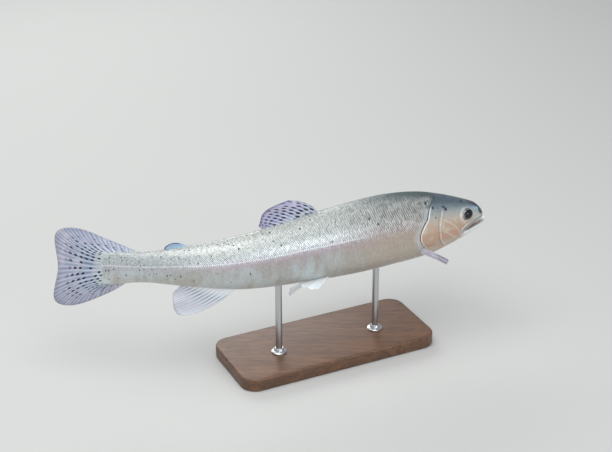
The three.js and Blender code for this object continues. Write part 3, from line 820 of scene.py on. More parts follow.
def part_lips(verts, lift):
    """Marks the grid's points along the lips as upper (lift above 0) or lower (below 0)."""
    lip_columns = (MOUTH_COLUMN, -MOUTH_COLUMN, 2 * SIDE_COLUMNS - MOUTH_COLUMN)
    for v in verts:
        if round(v.co.y) in lip_columns and v.co.x < corner_ring - 0.01:
            v.co.z = lift


last_ring = len(stations) - 1
skin_mesh = bmesh.new()
part_lips(add_patch(skin_mesh, (0, corner_ring), (-MOUTH_COLUMN, MOUTH_COLUMN)), 0.01)
part_lips(add_patch(skin_mesh, (0, corner_ring), (MOUTH_COLUMN, 2 * SIDE_COLUMNS - MOUTH_COLUMN)), -0.01)
add_patch(skin_mesh, (corner_ring, last_ring), (-MOUTH_COLUMN, 2 * SIDE_COLUMNS - MOUTH_COLUMN))
bmesh.ops.remove_doubles(skin_mesh, verts=skin_mesh.verts, dist=0.001)
print("grid:", len(skin_mesh.verts), "points")


# %% Finer faces where the head has small forms
def grid_places(bm):
    co = np.array([v.co for v in bm.verts])
    s, angle, side, fold = steered(co[:, 0], co[:, 1])
    return co, s, angle, side, fold


def refine(bm, wanted, cuts):
    """Divides the faces' edges wherever both ends of an edge are wanted."""
    for v, w in zip(bm.verts, wanted):
        v.tag = bool(w)
    edges = [e for e in bm.edges if e.verts[0].tag and e.verts[1].tag]
    bmesh.ops.subdivide_edges(bm, edges=edges, cuts=cuts, use_grid_fill=True)
    return len(edges)


co, s, angle, side, fold = grid_places(skin_mesh)
height = body(s, angle)[:, 2]
rim_gap = np.abs(eye_reach(s, height) - EYE["radius"] + 0.4)
near_nose = np.hypot(s - 9.8, height - 4.0) < 2.6
print("edges refined:", refine(skin_mesh, (rim_gap < 1.5) | near_nose, 2))

# %% Wrap, raise and open
def nape_colour(s, angle):
    """How much of the head's colour runs on over the nape, from 0 to 1."""
    nape = smooth((math.radians(56) - angle) / 0.25)
    return nape * (1 - smooth((s - gill_edge_at(angle) + 3) / 18))


co, s, angle, side, fold = grid_places(skin_mesh)
surface = body(s, angle)
raised, plate, pale, dark = relief(s, angle, surface[:, 2])
ring_place = co[:, 0]
over_gill = 0.6 * plate * (ring_place <= gill_ring) + fold * (ring_place > gill_ring)
lifted = surface + outwards(s, angle) * (raised + over_gill - SKIN_DEPTH)[:, None]
lower = (angle > mouth_angle(s) + 1e-6) & (co[:, 2] <= 0) | (co[:, 2] < 0)
lifted = open_jaw(lifted, s, angle, lower)
lifted[ring_place == last_ring] = surface[ring_place == last_ring] * np.array([1, 0, 1])
lifted[:, 1] *= side

on_head = 1 - smooth((ring_place - gill_ring - 1.0) / 1.0)
on_head = np.maximum(on_head, nape_colour(s, angle))
# inside_fold is painted shade: the skin under each gill cover's overhang and just behind it is painted a dark
# reddish brown
inside_fold = np.clip(-fold, 0, 1) * (ring_place > gill_ring + 1) * (s < gill_edge_at(angle) + 1.5)
gill_rim = hump((ring_place - gill_ring) * FINE_STEP, 0.9) * (ring_place <= gill_ring + 1)
carried = {
    "girth": angle / math.pi,
    "head": on_head,
    "pale": np.clip(pale + 0.8 * gill_rim * gill_freedom(angle), 0, 1),
    # shade: painted shade in the head's grooves and nostrils and under the gill covers
    "shade": np.clip(dark + 0.8 * inside_fold, 0, 1),
    "mouth": np.zeros_like(s),
}
print("skin lies between", lifted.min(0).round(1), "and", lifted.max(0).round(1), "mm")


# %% The mesh takes its shape and carries its markings
def carry(bm, points, numbers):
    """Moves each point to its place, and writes on it the numbers that its material reads."""
    place_layer = bm.verts.layers.float_vector.new("fish")
    layers = {title: bm.verts.layers.float.new(title) for title in numbers}
    for i, v in enumerate(bm.verts):
        v.co = points[i]
        v[place_layer] = points[i]
    for title, layer in layers.items():
        for v, number in zip(bm.verts, numbers[title]):
            v[layer] = number


WELD = 0.0005  # points of the straight fish closer than this are one point
BAKE_EDGE, BAKE_ALONG, BAKE_ROUND = 0.01, 0.98, 0.88  # corner and size of the unrolled skin on its bake map

bake_map = skin_mesh.loops.layers.uv.new("OFBake")
for face in skin_mesh.faces:
    for loop in face.loops:
        ring, column = loop.vert.co[:2]
        share = np.interp(ring, np.arange(len(stations)), stations) / stations[-1]
        turn = (column + MOUTH_COLUMN) / (2 * SIDE_COLUMNS)
        loop[bake_map].uv = (BAKE_EDGE + BAKE_ALONG * share, BAKE_EDGE + BAKE_ROUND * turn)
carry(skin_mesh, lifted, carried)
bmesh.ops.remove_doubles(skin_mesh, verts=skin_mesh.verts, dist=WELD)
print("skin faces:", len(skin_mesh.faces), "open edges:", sum(e.is_boundary for e in skin_mesh.edges))

# %% [markdown]
# ## Inside the mouth
#
# The mouth is a little open, so the eye can look in past the lips. A dark patch would look painted on. The
# open edge of the skin is extruded inwards instead, ring by ring, into a closed pocket that narrows to the
# throat, with an arched palate above and a sunken floor below. The lining is painted darker and redder
# towards the throat: its own redder flesh, with painted shade deeper in.

# %% The pocket of the mouth
THROAT = np.array([35.0, 0.0, -15.5])
MOUTH_STEPS = [0.015, 0.05, 0.12, 0.24, 0.4, 0.58, 0.78, 1.0]
PALATE_RISE, FLOOR_FALL = 2.0, 1.6  # how far the pocket arches up and down, half-way in

place_layer = skin_mesh.verts.layers.float_vector["fish"]
mouth_layer = skin_mesh.verts.layers.float["mouth"]
lips = [e for e in skin_mesh.edges if e.is_boundary]
for reach in MOUTH_STEPS:
    made = bmesh.ops.extrude_edge_only(skin_mesh, edges=lips)["geom"]
    lips = [g for g in made if isinstance(g, bmesh.types.BMEdge)]
    fresh = [g for g in made if isinstance(g, bmesh.types.BMVert)]
    for v in fresh:
        lip = Vector(v[place_layer])
        middle = -4.6 - 0.33 * lip.x  # height of the line between palate and floor
        arch = PALATE_RISE if lip.z > middle else -FLOOR_FALL
        v.co = lip.lerp(Vector(THROAT), reach)
        v.co.z += arch * math.sin(math.pi * min(1, reach * 1.1)) * smooth((27 - lip.x) / 20)
        v[mouth_layer] = reach
bmesh.ops.remove_doubles(skin_mesh, verts=skin_mesh.verts, dist=WELD)
print("open edges after the pocket:", sum(e.is_boundary for e in skin_mesh.edges))


# %% From the straight fish to the turned one
def finish_mesh(bm, name, finish, straight=True):
    """Makes a smooth object of a bmesh. A piece of the straight fish is bent into its place first."""
    if straight:
        for v, place in zip(bm.verts, bend(np.array([v.co for v in bm.verts]))):
            v.co = place
    bmesh.ops.recalc_face_normals(bm, faces=bm.faces)
    mesh = bpy.data.meshes.new(name)
    bm.to_mesh(mesh)
    bm.free()
    mesh.shade_smooth()
    mesh.materials.append(finish)
    made = add_object(name, mesh)
    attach(made, "root")
    return made


skin = finish_mesh(skin_mesh, "skin", skin_finish)
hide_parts("head", "jaw_lower", "gill_cover_left", "gill_cover_right", "trunk_front", "trunk_rear",
            "tail_stem")
skin.data.calc_loop_triangles()
print("skin triangles:", len(skin.data.loop_triangles))

# %% [markdown]
# ## Boards: plates and fins with two faces
#
# The long bone along the upper lip and every fin are thin boards with a front face and a rear face that
# meet in a fine edge. A Solidify modifier gives a wall of even thickness, but these swell at the root and
# thin out to the tip. So one helper makes two grids, places both by a rule for that piece, turns the rear
# one over and welds the rims.


# %% The board helper
def make_board(name, finish, steps, place, extra):
    """A two-faced board. u runs out along it and v across it, both from 0 to 1. place(u, v, face) gives points
    of the straight fish, with face 1 in front and -1 behind. extra(u, v) gives the numbers that the points
    carry and, for a fin, their places on its rays."""
    bm = bmesh.new()
    for _ in ("front", "rear"):
        bmesh.ops.create_grid(bm, x_segments=steps[0], y_segments=steps[1], size=0.5)
    bmesh.ops.reverse_faces(bm, faces=list(bm.faces)[len(bm.faces) // 2:])
    grid = np.array([v.co for v in bm.verts])
    u, v = grid[:, 0] + 0.5, grid[:, 1] + 0.5
    face = np.where(np.arange(len(u)) < len(u) // 2, 1.0, -1.0)
    numbers, rays = extra(u, v)
    if rays is not None:
        ray_layer = bm.verts.layers.float_vector.new("rays")
        for vert, ray in zip(bm.verts, rays):
            vert[ray_layer] = ray
    carry(bm, place(u, v, face), numbers)
    bmesh.ops.remove_doubles(bm, verts=bm.verts, dist=WELD)
    return finish_mesh(bm, name, finish)


# %% [markdown]
# ## The bone along the upper lip
#
# The maxilla is a long flat bone, blunt at its rear end, that swings when the mouth opens. It lies over the
# cheek and hides the corner of the mouth, so it is its own plate, domed across and tapered to the front.

# %% Lip bones
LIP_BONE_LINE = side_path((4, -2.6), (11, -4.0), (18, -6.6), (25, -10.4), (30.6, -14.2))
LIP_BONE_PROUD = 0.55


def round_from_back(s, z):
    """How far round from the back a height lies on the body."""
    above = z > wide(s)
    tall = np.where(above, back(s) - wide(s), wide(s) - belly(s)) * opened(s)
    power = np.where(above, square_back(s), square_belly(s)) / 2
    share = np.clip(np.abs(z - wide(s)) / tall, 0, 1) ** power
    return math.pi / 2 + np.where(above, -1, 1) * np.arcsin(share)


def lip_bone_place(side):
    def place(u, v, face):
        at = np.linspace(0, 1, len(LIP_BONE_LINE))
        s, z = np.interp(u, at, LIP_BONE_LINE[:, 0]), np.interp(u, at, LIP_BONE_LINE[:, 1])
        across = 2 * v - 1
        blunt = np.sqrt(1 - np.clip((u - 0.86) / 0.14, 0, 1) ** 2) * np.sqrt(np.clip(u / 0.1, 0, 1))
        reach = np.interp(u, [0, 0.3, 0.75, 1], [1.3, 1.8, 2.9, 3.3]) * blunt
        s, z = s + across * reach * 0.42, z + across * reach * 0.9
        angle = round_from_back(s, z)
        dome = np.sqrt(np.clip(1 - across**2, 0, 1)) * blunt
        groove = 0.22 * hump(across - 0.25, 0.16) * smooth((u - 0.55) / 0.1)
        height = np.where(face > 0, -0.5 + (LIP_BONE_PROUD + 0.5) * dome**0.5 - groove * dome, -0.5)
        points = body(s, angle) + outwards(s, angle) * height[:, None]
        points[:, 1] *= side
        return points

    return place


def lip_bone_numbers(u, v):
    across = 2 * v - 1
    # shade is the bone's own darker tint, with painted shade in the groove along its rear half
    numbers = {"girth": np.full_like(u, 0.4), "head": np.ones_like(u),
               "pale": 0.6 * smooth((across - 0.68) / 0.2) + 0.4 * smooth((u - 0.84) / 0.1),
               "shade": 0.24 + 0.2 * hump(across - 0.25, 0.2) * smooth((u - 0.55) / 0.1)}
    return numbers, None


for side_name, side_sign in SIDES.items():
    place = lip_bone_place(side_sign)
    bone = make_board("lip_plate_" + side_name, skin_finish, (48, 16), place, lip_bone_numbers)
    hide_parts("lip_bone_" + side_name)
print("lip plates made")

# %% [markdown]
# ## The eyes
#
# A trout's eye has no lids. It is a glossy ball with a large pupil, drawn to a point in front, inside a
# narrow silvery ring that is dark above. A glass dome over a painted disc would be closer to nature but
# heavy to render, so one ball carries the whole pattern under a clear coat. The pattern reads the ball's
# own directions, which each point carries.


# %% The finish of an eye
def make_eye_finish():
    finish, tree, shader = new_material("eye", Coat_Weight=0.7, Coat_Roughness=0.02, Specular_IOR_Level=0.15)
    rearward, _, height = separated(tree, read_place(tree, "look"))

    # distance from the middle of the pupil, shortened ahead of it so that the pupil is drawn out to the front
    centred = math_of(tree, "ADD", rearward, 0.06)
    pointed = product(tree, math_of(tree, "MINIMUM", centred, 0.0), 0.22)
    centred = math_of(tree, "SUBTRACT", centred, pointed)
    reach = length_of(tree, centred, height)
    turn = product(tree, math_of(tree, "ARCTAN2", height, centred), 5.0)
    streaks = noise(tree, combined(tree, turn, reach), 3.0, 3.0)

    ring = ramp(tree, streaks, [(0.3, paint(112, 132, 148)), (0.7, paint(206, 216, 218))])
    gold = product(tree, between(tree, reach, 0.86, 0.82), between(tree, reach, 0.76, 0.8), 0.4)
    pupil = between(tree, reach, 0.8, 0.76)
    for amount, over in (
        (product(tree, between(tree, height, 0.1, 0.6), 0.85), (70, 88, 92)),
        (product(tree, between(tree, height, -0.25, -0.7), 0.8), (34, 72, 102)),
        (gold, (196, 186, 150)),
        (between(tree, reach, 0.88, 0.98), (40, 52, 66)),
        (pupil, (4, 8, 30)),
    ):
        ring = blend(tree, amount, ring, paint(*over))
    shine = product(tree, opposite(tree, pupil), 0.35)
    rough = rescaled(tree, streaks, 0, 1, 0.18, 0.34)
    wire(tree, shader, {"Base Color": ring, "Metallic": shine, "Roughness": rough})
    return finish


eye_finish = make_eye_finish()


# %% Eyeballs
EYE_TURNS = {"Z": 3, "X": 8}  # how far the eyes look forward and up, in degrees
EYE_ANGLE = math.pi * 0.44  # how far round from the back the eyes lie


def make_eye(name, side):
    bm = bmesh.new()
    bmesh.ops.create_uvsphere(bm, u_segments=64, v_segments=40, radius=1)
    bmesh.ops.rotate(bm, verts=bm.verts, cent=(0, 0, 0), matrix=Matrix.Rotation(math.radians(90), 3, "X"))
    look = bm.verts.layers.float_vector.new("look")
    for v in bm.verts:
        v[look] = v.co
    bmesh.ops.scale(bm, vec=(EYE["radius"] * EYE["stretch"], EYE["depth"], EYE["radius"]), verts=bm.verts)
    for axis, turn in EYE_TURNS.items():
        turned = Matrix.Rotation(math.radians(side * turn), 3, axis)
        bmesh.ops.rotate(bm, verts=bm.verts, cent=(0, 0, 0), matrix=turned)
    surface_y = float(body(EYE["s"], EYE_ANGLE)[1])
    centre = (EYE["s"], side * (surface_y + EYE["proud"] - EYE["depth"]), EYE["z"])
    bmesh.ops.translate(bm, vec=centre, verts=bm.verts)
    return finish_mesh(bm, name, eye_finish)


for side_name, side_sign in SIDES.items():
    ball = make_eye("eyeball_" + side_name, side_sign)
    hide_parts("eye_" + side_name)
print("eyes made")

# %% [markdown]
# ## The scales
#
# Thousands of small round scales lie like roof tiles, each with its front edge under the one ahead.
# Particles or instances would be quick, but only real mesh survives an export. One scale is shaped with a
# few faces, then copied by array arithmetic on a staggered lattice that covers each side behind the head.
# Every copy is tilted by a hair, so that neighbours catch the light differently, which is where a fish's
# sparkle comes from. Each copy also carries painted shade where it comes out from under the one ahead and
# on the wall of its free edge, a painted sheen towards that edge, and a random lighter or darker tone.

# %% One scale
SCALE_ROWS = 74  # rows of scales on each side, from back to belly
LATERAL_ROW = 33  # the row that carries the lateral line
FRONT_PITCH, REAR_PITCH = 2.0, 1.45  # distance between scales along a row, in front and at the tail
FRONT_ROOT = 46.0  # no scale is rooted ahead of this place
SCALE_LIFT = 0.17  # height of a scale's free edge over the skin
PATCH_HALF = 0.0015  # half the width of a scale's patch on the bake map
# painted shade and sheen on each scale: dark at the root, which lies under the scale ahead, brightest towards the
# free edge, and dark again on the wall under that edge
SCALE_PAINTED_SHADE_AND_SHEEN = [-1.3, -0.38, 0.6, -0.7]  # darker or brighter, from the root to the rim of the free edge


def make_one_scale():
    """A small grid: the place along and across, height, row, and painted shade and sheen of each point, and
    its faces.
    """
    bm = bmesh.new()
    bmesh.ops.create_grid(bm, x_segments=3, y_segments=6, size=0.5)
    co = np.array([v.co for v in bm.verts])
    row = np.round((co[:, 0] + 0.5) * 3)
    across = np.round((co[:, 1] + 0.5) * 6) / 3 - 1
    rounded = np.sqrt(1 - 0.86 * across**2)
    flat = np.zeros_like(across)
    along = np.choose(row.astype(int), [flat - 0.7, 0.28 * rounded, 0.85 * rounded, 0.86 * rounded])
    high = np.choose(row.astype(int), [flat - 0.9, 0.45 - 0.4 * across**2, 1 - 0.5 * across**2, flat - 0.9])
    painted_shade_and_sheen = np.choose(row.astype(int), SCALE_PAINTED_SHADE_AND_SHEEN) - 0.15 * across**2
    faces = np.array([[v.index for v in f.verts] for f in bm.faces])
    bm.free()
    return along, across, high, row, painted_shade_and_sheen, faces


scale_along, scale_across, scale_high, scale_row, scale_painted_shade_and_sheen, scale_faces = make_one_scale()
print("one scale:", len(scale_along), "points,", len(scale_faces), "faces")


# %% The lattice of roots
def pitch_at(s):
    return mix(FRONT_PITCH, REAR_PITCH, (s - 60) / 290)


def station_of(s, angle):
    """The ring station that was steered to a place, found by repeated correction."""
    station = s
    for _ in range(25):
        station = s - (gill_edge_at(angle) - GILL_STATION) * steering_left(station)
    return station


def skin_height(s, angle):
    """How high the skin lies over the body's outline behind the gill covers."""
    risen = smooth((station_of(s, angle) - GILL_STATION - 0.5) / SUNK_OVER)
    return (risen - 1) * gill_freedom(angle) - SKIN_DEPTH


def scale_roots():
    places = [FRONT_ROOT]
    while places[-1] < TAPER_END - 4:
        places.append(places[-1] + pitch_at(places[-1]))
    places = np.array(places)
    roots = []
    for row in range(SCALE_ROWS):
        index = np.arange(len(places) - 1) + 0.5 * (row % 2)
        s = np.interp(index, np.arange(len(places)), places)
        angle = np.full_like(s, (row + 0.5) / SCALE_ROWS * math.pi)
        kept = s > gill_edge_at(angle) + mix(1.0, -0.3, gill_freedom(angle))
        roots.append(np.stack([s, angle, np.full_like(s, row)], -1)[kept])
    return np.concatenate(roots)


roots = scale_roots()
print("scales on each side:", len(roots))


# %% A piece of the coat
def make_scales(name, side, roots, dice):
    """A scale at each root, as one mesh."""
    count, points_each = len(roots), len(scale_along)
    jitter = dice.normal(0, 0.03, (count, 1))
    s0, angle0, row = roots[:, :1] + jitter, roots[:, 1:2], roots[:, 2:3]
    pitch = pitch_at(s0)
    girth = np.linalg.norm(body(s0, angle0 + 0.02) - body(s0, angle0 - 0.02), axis=-1) / 0.04
    reach_across = 1.12 * girth * math.pi / SCALE_ROWS
    s = s0 + scale_along * pitch
    angle = np.clip(angle0 + scale_across * reach_across / girth, 0.0, math.pi)

    grown = mix(smooth((s0 - gill_edge_at(angle0)) / 7), 1, gill_freedom(angle0))
    lean = np.clip(dice.normal(0, 0.02, (count, 2)), -0.04, 0.04) * grown
    tilt = lean[:, :1] * scale_along * pitch + lean[:, 1:] * scale_across * reach_across
    tube = 0.14 * (row == LATERAL_ROW) * (scale_across == 0) * (scale_row > 0) * (scale_row < 3)
    rim = np.where(scale_row == 3, 0, 1)
    height = skin_height(s, angle) + SCALE_LIFT * scale_high * mix(0.4, 1, grown) + (tilt + tube) * rim
    # tone carries painted shade and sheen across each scale and a random lighter or darker luck for each scale;
    # both are weaker near the gill covers and, with calm, weaker and a little darker over the shoulder and back
    luck = dice.uniform(-0.17, 0.17, (count, 1))
    calm = (1 - smooth((s0 - 60) / 90)) * (1 - smooth((angle0 - 0.15) / 0.6))
    tone = 0.5 + (scale_painted_shade_and_sheen + luck) * mix(0.3, 1, grown) * (1 - 0.8 * calm) - 0.16 * calm
    lateral_line = 0.6 * (row == LATERAL_ROW) * smooth((s0 - 110) / 50)
    behind_gills = 0.45 * gill_freedom(angle0) * (1 - smooth((s0 - gill_edge_at(angle0)) / 9))
    carried = {
        "girth": angle / math.pi,
        "tone": tone,
        "head": nape_colour(s, angle),
        "pale": np.broadcast_to(np.maximum(lateral_line, behind_gills), s.shape),
    }
    points = body(s, angle) + outwards(s, angle) * height[..., None]
    points[..., 1] *= side

    mesh = bpy.data.meshes.new(name)
    faces = (scale_faces + points_each * np.arange(count)[:, None, None]).reshape(-1, 4)
    faces = faces[:, ::-1] if side < 0 else faces  # a mirrored scale needs its faces turned over
    mesh.from_pydata(bend(points).reshape(-1, 3), [], faces.tolist())
    for title, values in carried.items():
        mesh.attributes.new(title, "FLOAT", "POINT").data.foreach_set("value", values.ravel())
    mesh.attributes.new("fish", "FLOAT_VECTOR", "POINT").data.foreach_set("vector", points.ravel())

    patch = np.stack([BAKE_EDGE + BAKE_ALONG * s0 / stations[-1] + PATCH_HALF * scale_along,
                      BAKE_EDGE + BAKE_ALONG * angle0 / math.pi + PATCH_HALF * scale_across], -1)
    bake_map = mesh.uv_layers.new(name="OFBake")
    corner = np.empty(len(mesh.loops), int)
    mesh.loops.foreach_get("vertex_index", corner)
    bake_map.data.foreach_set("uv", patch.reshape(-1, 2)[corner].ravel())
    mesh.shade_smooth()
    mesh.set_sharp_from_angle(angle=math.radians(35))
    mesh.materials.append(scale_finish)
    coat = add_object(name, mesh)
    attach(coat, "root")
    mesh.calc_loop_triangles()
    return len(mesh.loop_triangles)


# %% The coat, in six pieces
# Where each piece starts and ends along the body
COAT_PIECES = {"front": (0, 165), "middle": (165, 258), "rear": (258, TAPER_END)}

for side_name, side_sign, seed in (("left", 1, 11), ("right", -1, 12)):
    dice = np.random.default_rng(seed)
    for piece, (start, end) in COAT_PIECES.items():
        chosen = roots[(roots[:, 0] >= start) & (roots[:, 0] < end)]
        name = "scales_" + side_name + "_" + piece
        print(name, "triangles:", make_scales(name, side_sign, chosen, dice))

# %% [markdown]
# ## The finish of the fins
#
# A trout's fin is a thin membrane held by rays, each a stack of tiny bone segments that splits in two
# towards the edge. The back and tail fins carry dark dashes on the membrane between the rays, and the lower
# fins are plain and milky. One node group paints all of them. It reads where a point lies on its fin: how
# far out along the ray, which ray, and whether it is on a ray or between two.


# %% The fin markings group
def make_fin_markings():
    inputs = {title: "NodeSocketColor" for title in ("Base", "Membrane", "Ray")}
    for title in ("Dashes", "Dash rows", "Dash width", "Dash end", "Dark edge"):
        inputs[title] = "NodeSocketFloat"
    outputs = {"Colour": "NodeSocketColor", "Roughness": "NodeSocketFloat", "Height": "NodeSocketFloat"}
    group, taken, given = new_group("fin_markings", inputs, outputs)
    base, membrane, ray, dashes, rows, width, end, dark_edge = [taken.outputs[title] for title in inputs]
    out, number, on_ray = separated(group, read_place(group, "rays"))
    cloud = noise(group, read_place(group, "fish"), 0.12, 4.0)
    colour = blend(group, product(group, on_ray, 0.75), membrane, ray)
    colour = blend(group, product(group, between(group, cloud, 0.45, 0.75), 0.3), colour, paint(226, 228, 232))
    colour = blend(group, product(group, between(group, out, 0.4, 0.1), 0.85), colour, base)

    # dark dashes lie in rows between two rays: chance shifts each row along and leaves some dashes out
    row = math_of(group, "FLOOR", math_of(group, "ADD", number, 0.5))
    along = math_of(group, "ADD", product(group, out, rows), chance(group, "1D", {"W": row}))
    luck = chance(group, "2D", {"Vector": combined(group, row, math_of(group, "FLOOR", along))})
    ahead = math_of(group, "SUBTRACT", math_of(group, "FRACT", along), 0.5)
    beside = math_of(group, "DIVIDE", math_of(group, "SUBTRACT", number, row), width)
    beside = product(group, beside, math_of(group, "ADD", out, 0.5))
    reach = length_of(group, math_of(group, "DIVIDE", ahead, 0.34), beside)
    left = math_of(group, "SUBTRACT", end, out)
    dash = product(group, between(group, reach, 1.0, 0.7), math_of(group, "GREATER_THAN", luck, 0.28),
                   between(group, left, 0.0, 0.24), between(group, out, 0.1, 0.18), dashes)
    colour = blend(group, dash, colour, paint(10, 13, 46))
    margin = product(group, between(group, out, 0.86, 1.0), dark_edge)
    colour = blend(group, margin, colour, paint(44, 52, 92))

    # the joints between the segments of a ray show as fine ripples
    joints = math_of(group, "SINE", product(group, out, 260.0))
    joints = product(group, joints, on_ray, between(group, out, 0.25, 0.5))
    rough = rescaled(group, cloud, 0.3, 0.7, 0.32, 0.5)
    wire(group, given, {"Colour": colour, "Roughness": rough, "Height": joints})
    return group


fin_markings = make_fin_markings()
print("fin markings nodes:", len(fin_markings.nodes))


# %% The finish of each fin
def make_fin_finish(name, base, membrane, ray, dashes=0.0, rows=1.0, width=0.3, end=1.0, dark_edge=0.0):
    finish, tree, shader = new_material(
        name, Coat_Weight=0.2, Coat_Roughness=0.2, Subsurface_Weight=0.12, Subsurface_Scale=0.004)
    wires = {"Base": paint(*base), "Membrane": paint(*membrane), "Ray": paint(*ray), "Dashes": dashes,
             "Dash rows": rows, "Dash width": width, "Dash end": end, "Dark edge": dark_edge}
    painted = add_node(tree, "ShaderNodeGroup", wires, node_tree=fin_markings).outputs
    wire(tree, shader, {"Base Color": painted["Colour"], "Roughness": painted["Roughness"]})
    bump(tree, shader, painted["Height"], 0.4, 0.0001)
    return finish


FIN_FINISHES = {
    "tail": make_fin_finish("tail_fin", (186, 194, 196), (112, 126, 154), (200, 211, 224),
                            dashes=1.0, rows=10.0, width=0.26, end=0.9, dark_edge=0.25),
    "dorsal": make_fin_finish("back_fin", (178, 186, 192), (104, 112, 152), (204, 210, 228),
                              dashes=1.0, rows=5.0, width=0.36, end=1.1, dark_edge=0.7),
    "adipose": make_fin_finish("adipose_fin", (176, 190, 198), (148, 180, 206), (166, 196, 220), dark_edge=1.0),
    "anal": make_fin_finish("anal_fin", (240, 243, 246), (140, 154, 174), (246, 249, 251)),
    "pelvic": make_fin_finish("pelvic_fin", (236, 240, 243), (222, 230, 236), (250, 252, 253)),
    "pectoral": make_fin_finish("pectoral_fin", (198, 196, 204), (146, 146, 166), (214, 212, 226)),
}
print("fin finishes:", sorted(FIN_FINISHES))

# %% [markdown]
# ## The fins
#
# Each fin could be a flat card with its outline cut out, but a real one is built of its rays, so this one
# is too. Every ray is a curve with a root on the body, a point that it bows towards and a tip. The mesh
# runs along the rays and across them, swells into a ridge at each ray, thins to a membrane between, splits
# each ray in two towards the edge, and waves a little as wet membrane does.


# %% Paths for roots and tips
ROOT_DEPTH = 2.5  # the rays of the paired fins start this far inside the body


def spline_path(places):
    """A smooth path through a few places of the side view, as a function of v from 0 to 1."""
    p = np.array(places, float)

    def at(v, y=0.0):
        x = np.clip(v, 0, 1) * (len(p) - 1)
        i = np.clip(np.floor(x).astype(int), 0, len(p) - 2)
        w = (x - i)[:, None]
        before, here = p[np.maximum(i - 1, 0)], p[i]
        after, beyond = p[i + 1], p[np.minimum(i + 2, len(p) - 1)]
        slope_0, slope_1 = (after - before) / 2, (beyond - here) / 2
        flat = ((2 * here - 2 * after + slope_0 + slope_1) * w**3
                + (-3 * here + 3 * after - 2 * slope_0 - slope_1) * w**2 + slope_0 * w + here)
        return np.stack([flat[:, 0], np.full(len(flat), y), flat[:, 1]], -1)

    return at


def curved_ray(root, bow, tip):
    def ray(u, v):
        u = u[:, None]
        return root(v) * (1 - u) ** 2 + bow(v) * 2 * u * (1 - u) + tip(v) * u * u

    return ray


def middle_ray(roots, tips, rise, sway):
    """Rays of a fin of the middle line, which leave the body at an angle above straight back."""
    root, tip_path = spline_path(roots), spline_path(tips)

    def tip(v):
        return tip_path(v, sway)

    def bow(v):
        start, end = root(v), tip(v)
        reach = 0.5 * np.linalg.norm(end - start, axis=-1)
        angle = np.radians(mix(rise[0], rise[1], v))
        return start + np.stack([np.cos(angle) * reach, 0 * reach, np.sin(angle) * reach], -1)

    return curved_ray(root, bow, tip)


def paired_ray(side, root_from, root_to, lead, trail, length, droop):
    """Rays of a paired fin, which fan between two directions, each (back, out to the side, down)."""

    def root(v):
        s, angle = mix(root_from[0], root_to[0], v), np.radians(mix(root_from[1], root_to[1], v))
        return body(s, angle, -ROOT_DEPTH) * np.array([1, side, 1])

    def direction(v):
        d = mix(np.array(lead, float), np.array(trail, float), v[:, None])
        d /= np.linalg.norm(d, axis=-1, keepdims=True)
        return d * np.array([1, side, -1])

    def bow(v):
        return root(v) + direction(v) * 0.5 * length(v)[:, None]

    def tip(v):
        return root(v) + direction(v) * length(v)[:, None] - np.array([0, 0, droop])

    return curved_ray(root, bow, tip)


# %% A fin from its rays
MEMBRANE = 0.3  # thickness of the membrane at the edge


def make_fin(name, ray, thick, rays, finish, steps=40, columns=7, wave=0.5, ruffle=2.0, edge=MEMBRANE,
             fray=0.02):
    """A fin. steps and columns are its faces along a ray and for each ray, wave and ruffle are the height and
    the number of its waves, and fray is how far the rays stand out of its edge."""
    nudge = 0.004

    def on_ray(u, v):
        """1 on the middle of a ray and 0 between rays; beyond the middle of the fin each ray is two."""
        whole = 0.5 - 0.5 * np.cos(2 * math.pi * v * rays)
        halves = 0.5 - 0.5 * np.cos(4 * math.pi * v * rays - math.pi * 0.5)
        return mix(whole**1.5, np.maximum(halves**1.5, 0.35 * whole), smooth((u - 0.42) / 0.25))

    def place(u, v, face):
        ridge = on_ray(u, v)
        reach = u * (1 + fray * (ridge - 0.6) * smooth((u - 0.8) / 0.2))
        along = ray(u + nudge, v) - ray(u - nudge, v)
        across = ray(u, np.minimum(1, v + nudge)) - ray(u, np.maximum(0, v - nudge))
        through = np.cross(along, across)
        through /= np.maximum(np.linalg.norm(through, axis=-1, keepdims=True), 1e-9)
        rim = np.sqrt(1 - (1 - np.clip(np.minimum(v, 1 - v) * rays * 1.5, 0, 1)) ** 2)
        rim = rim * np.sqrt(1 - (1 - np.clip((1 - u) * 25, 0, 1)) ** 2)
        wall = mix(thick * 0.92, edge, smooth(np.clip(u * 1.5, 0, 1))) + 0.34 * ridge * (1 - 0.55 * u)
        bend_away = wave * u**2 * np.sin(2 * math.pi * (ruffle * v + 0.15)) * (0.4 + 0.6 * u)
        return ray(reach, v) + through * (bend_away + face * 0.5 * wall * rim)[:, None]

    def extra(u, v):
        return {}, np.stack([u, v * rays, on_ray(u, v)], -1)

    made = make_board(name, FIN_FINISHES[finish], (steps, rays * columns), place, extra)
    return made


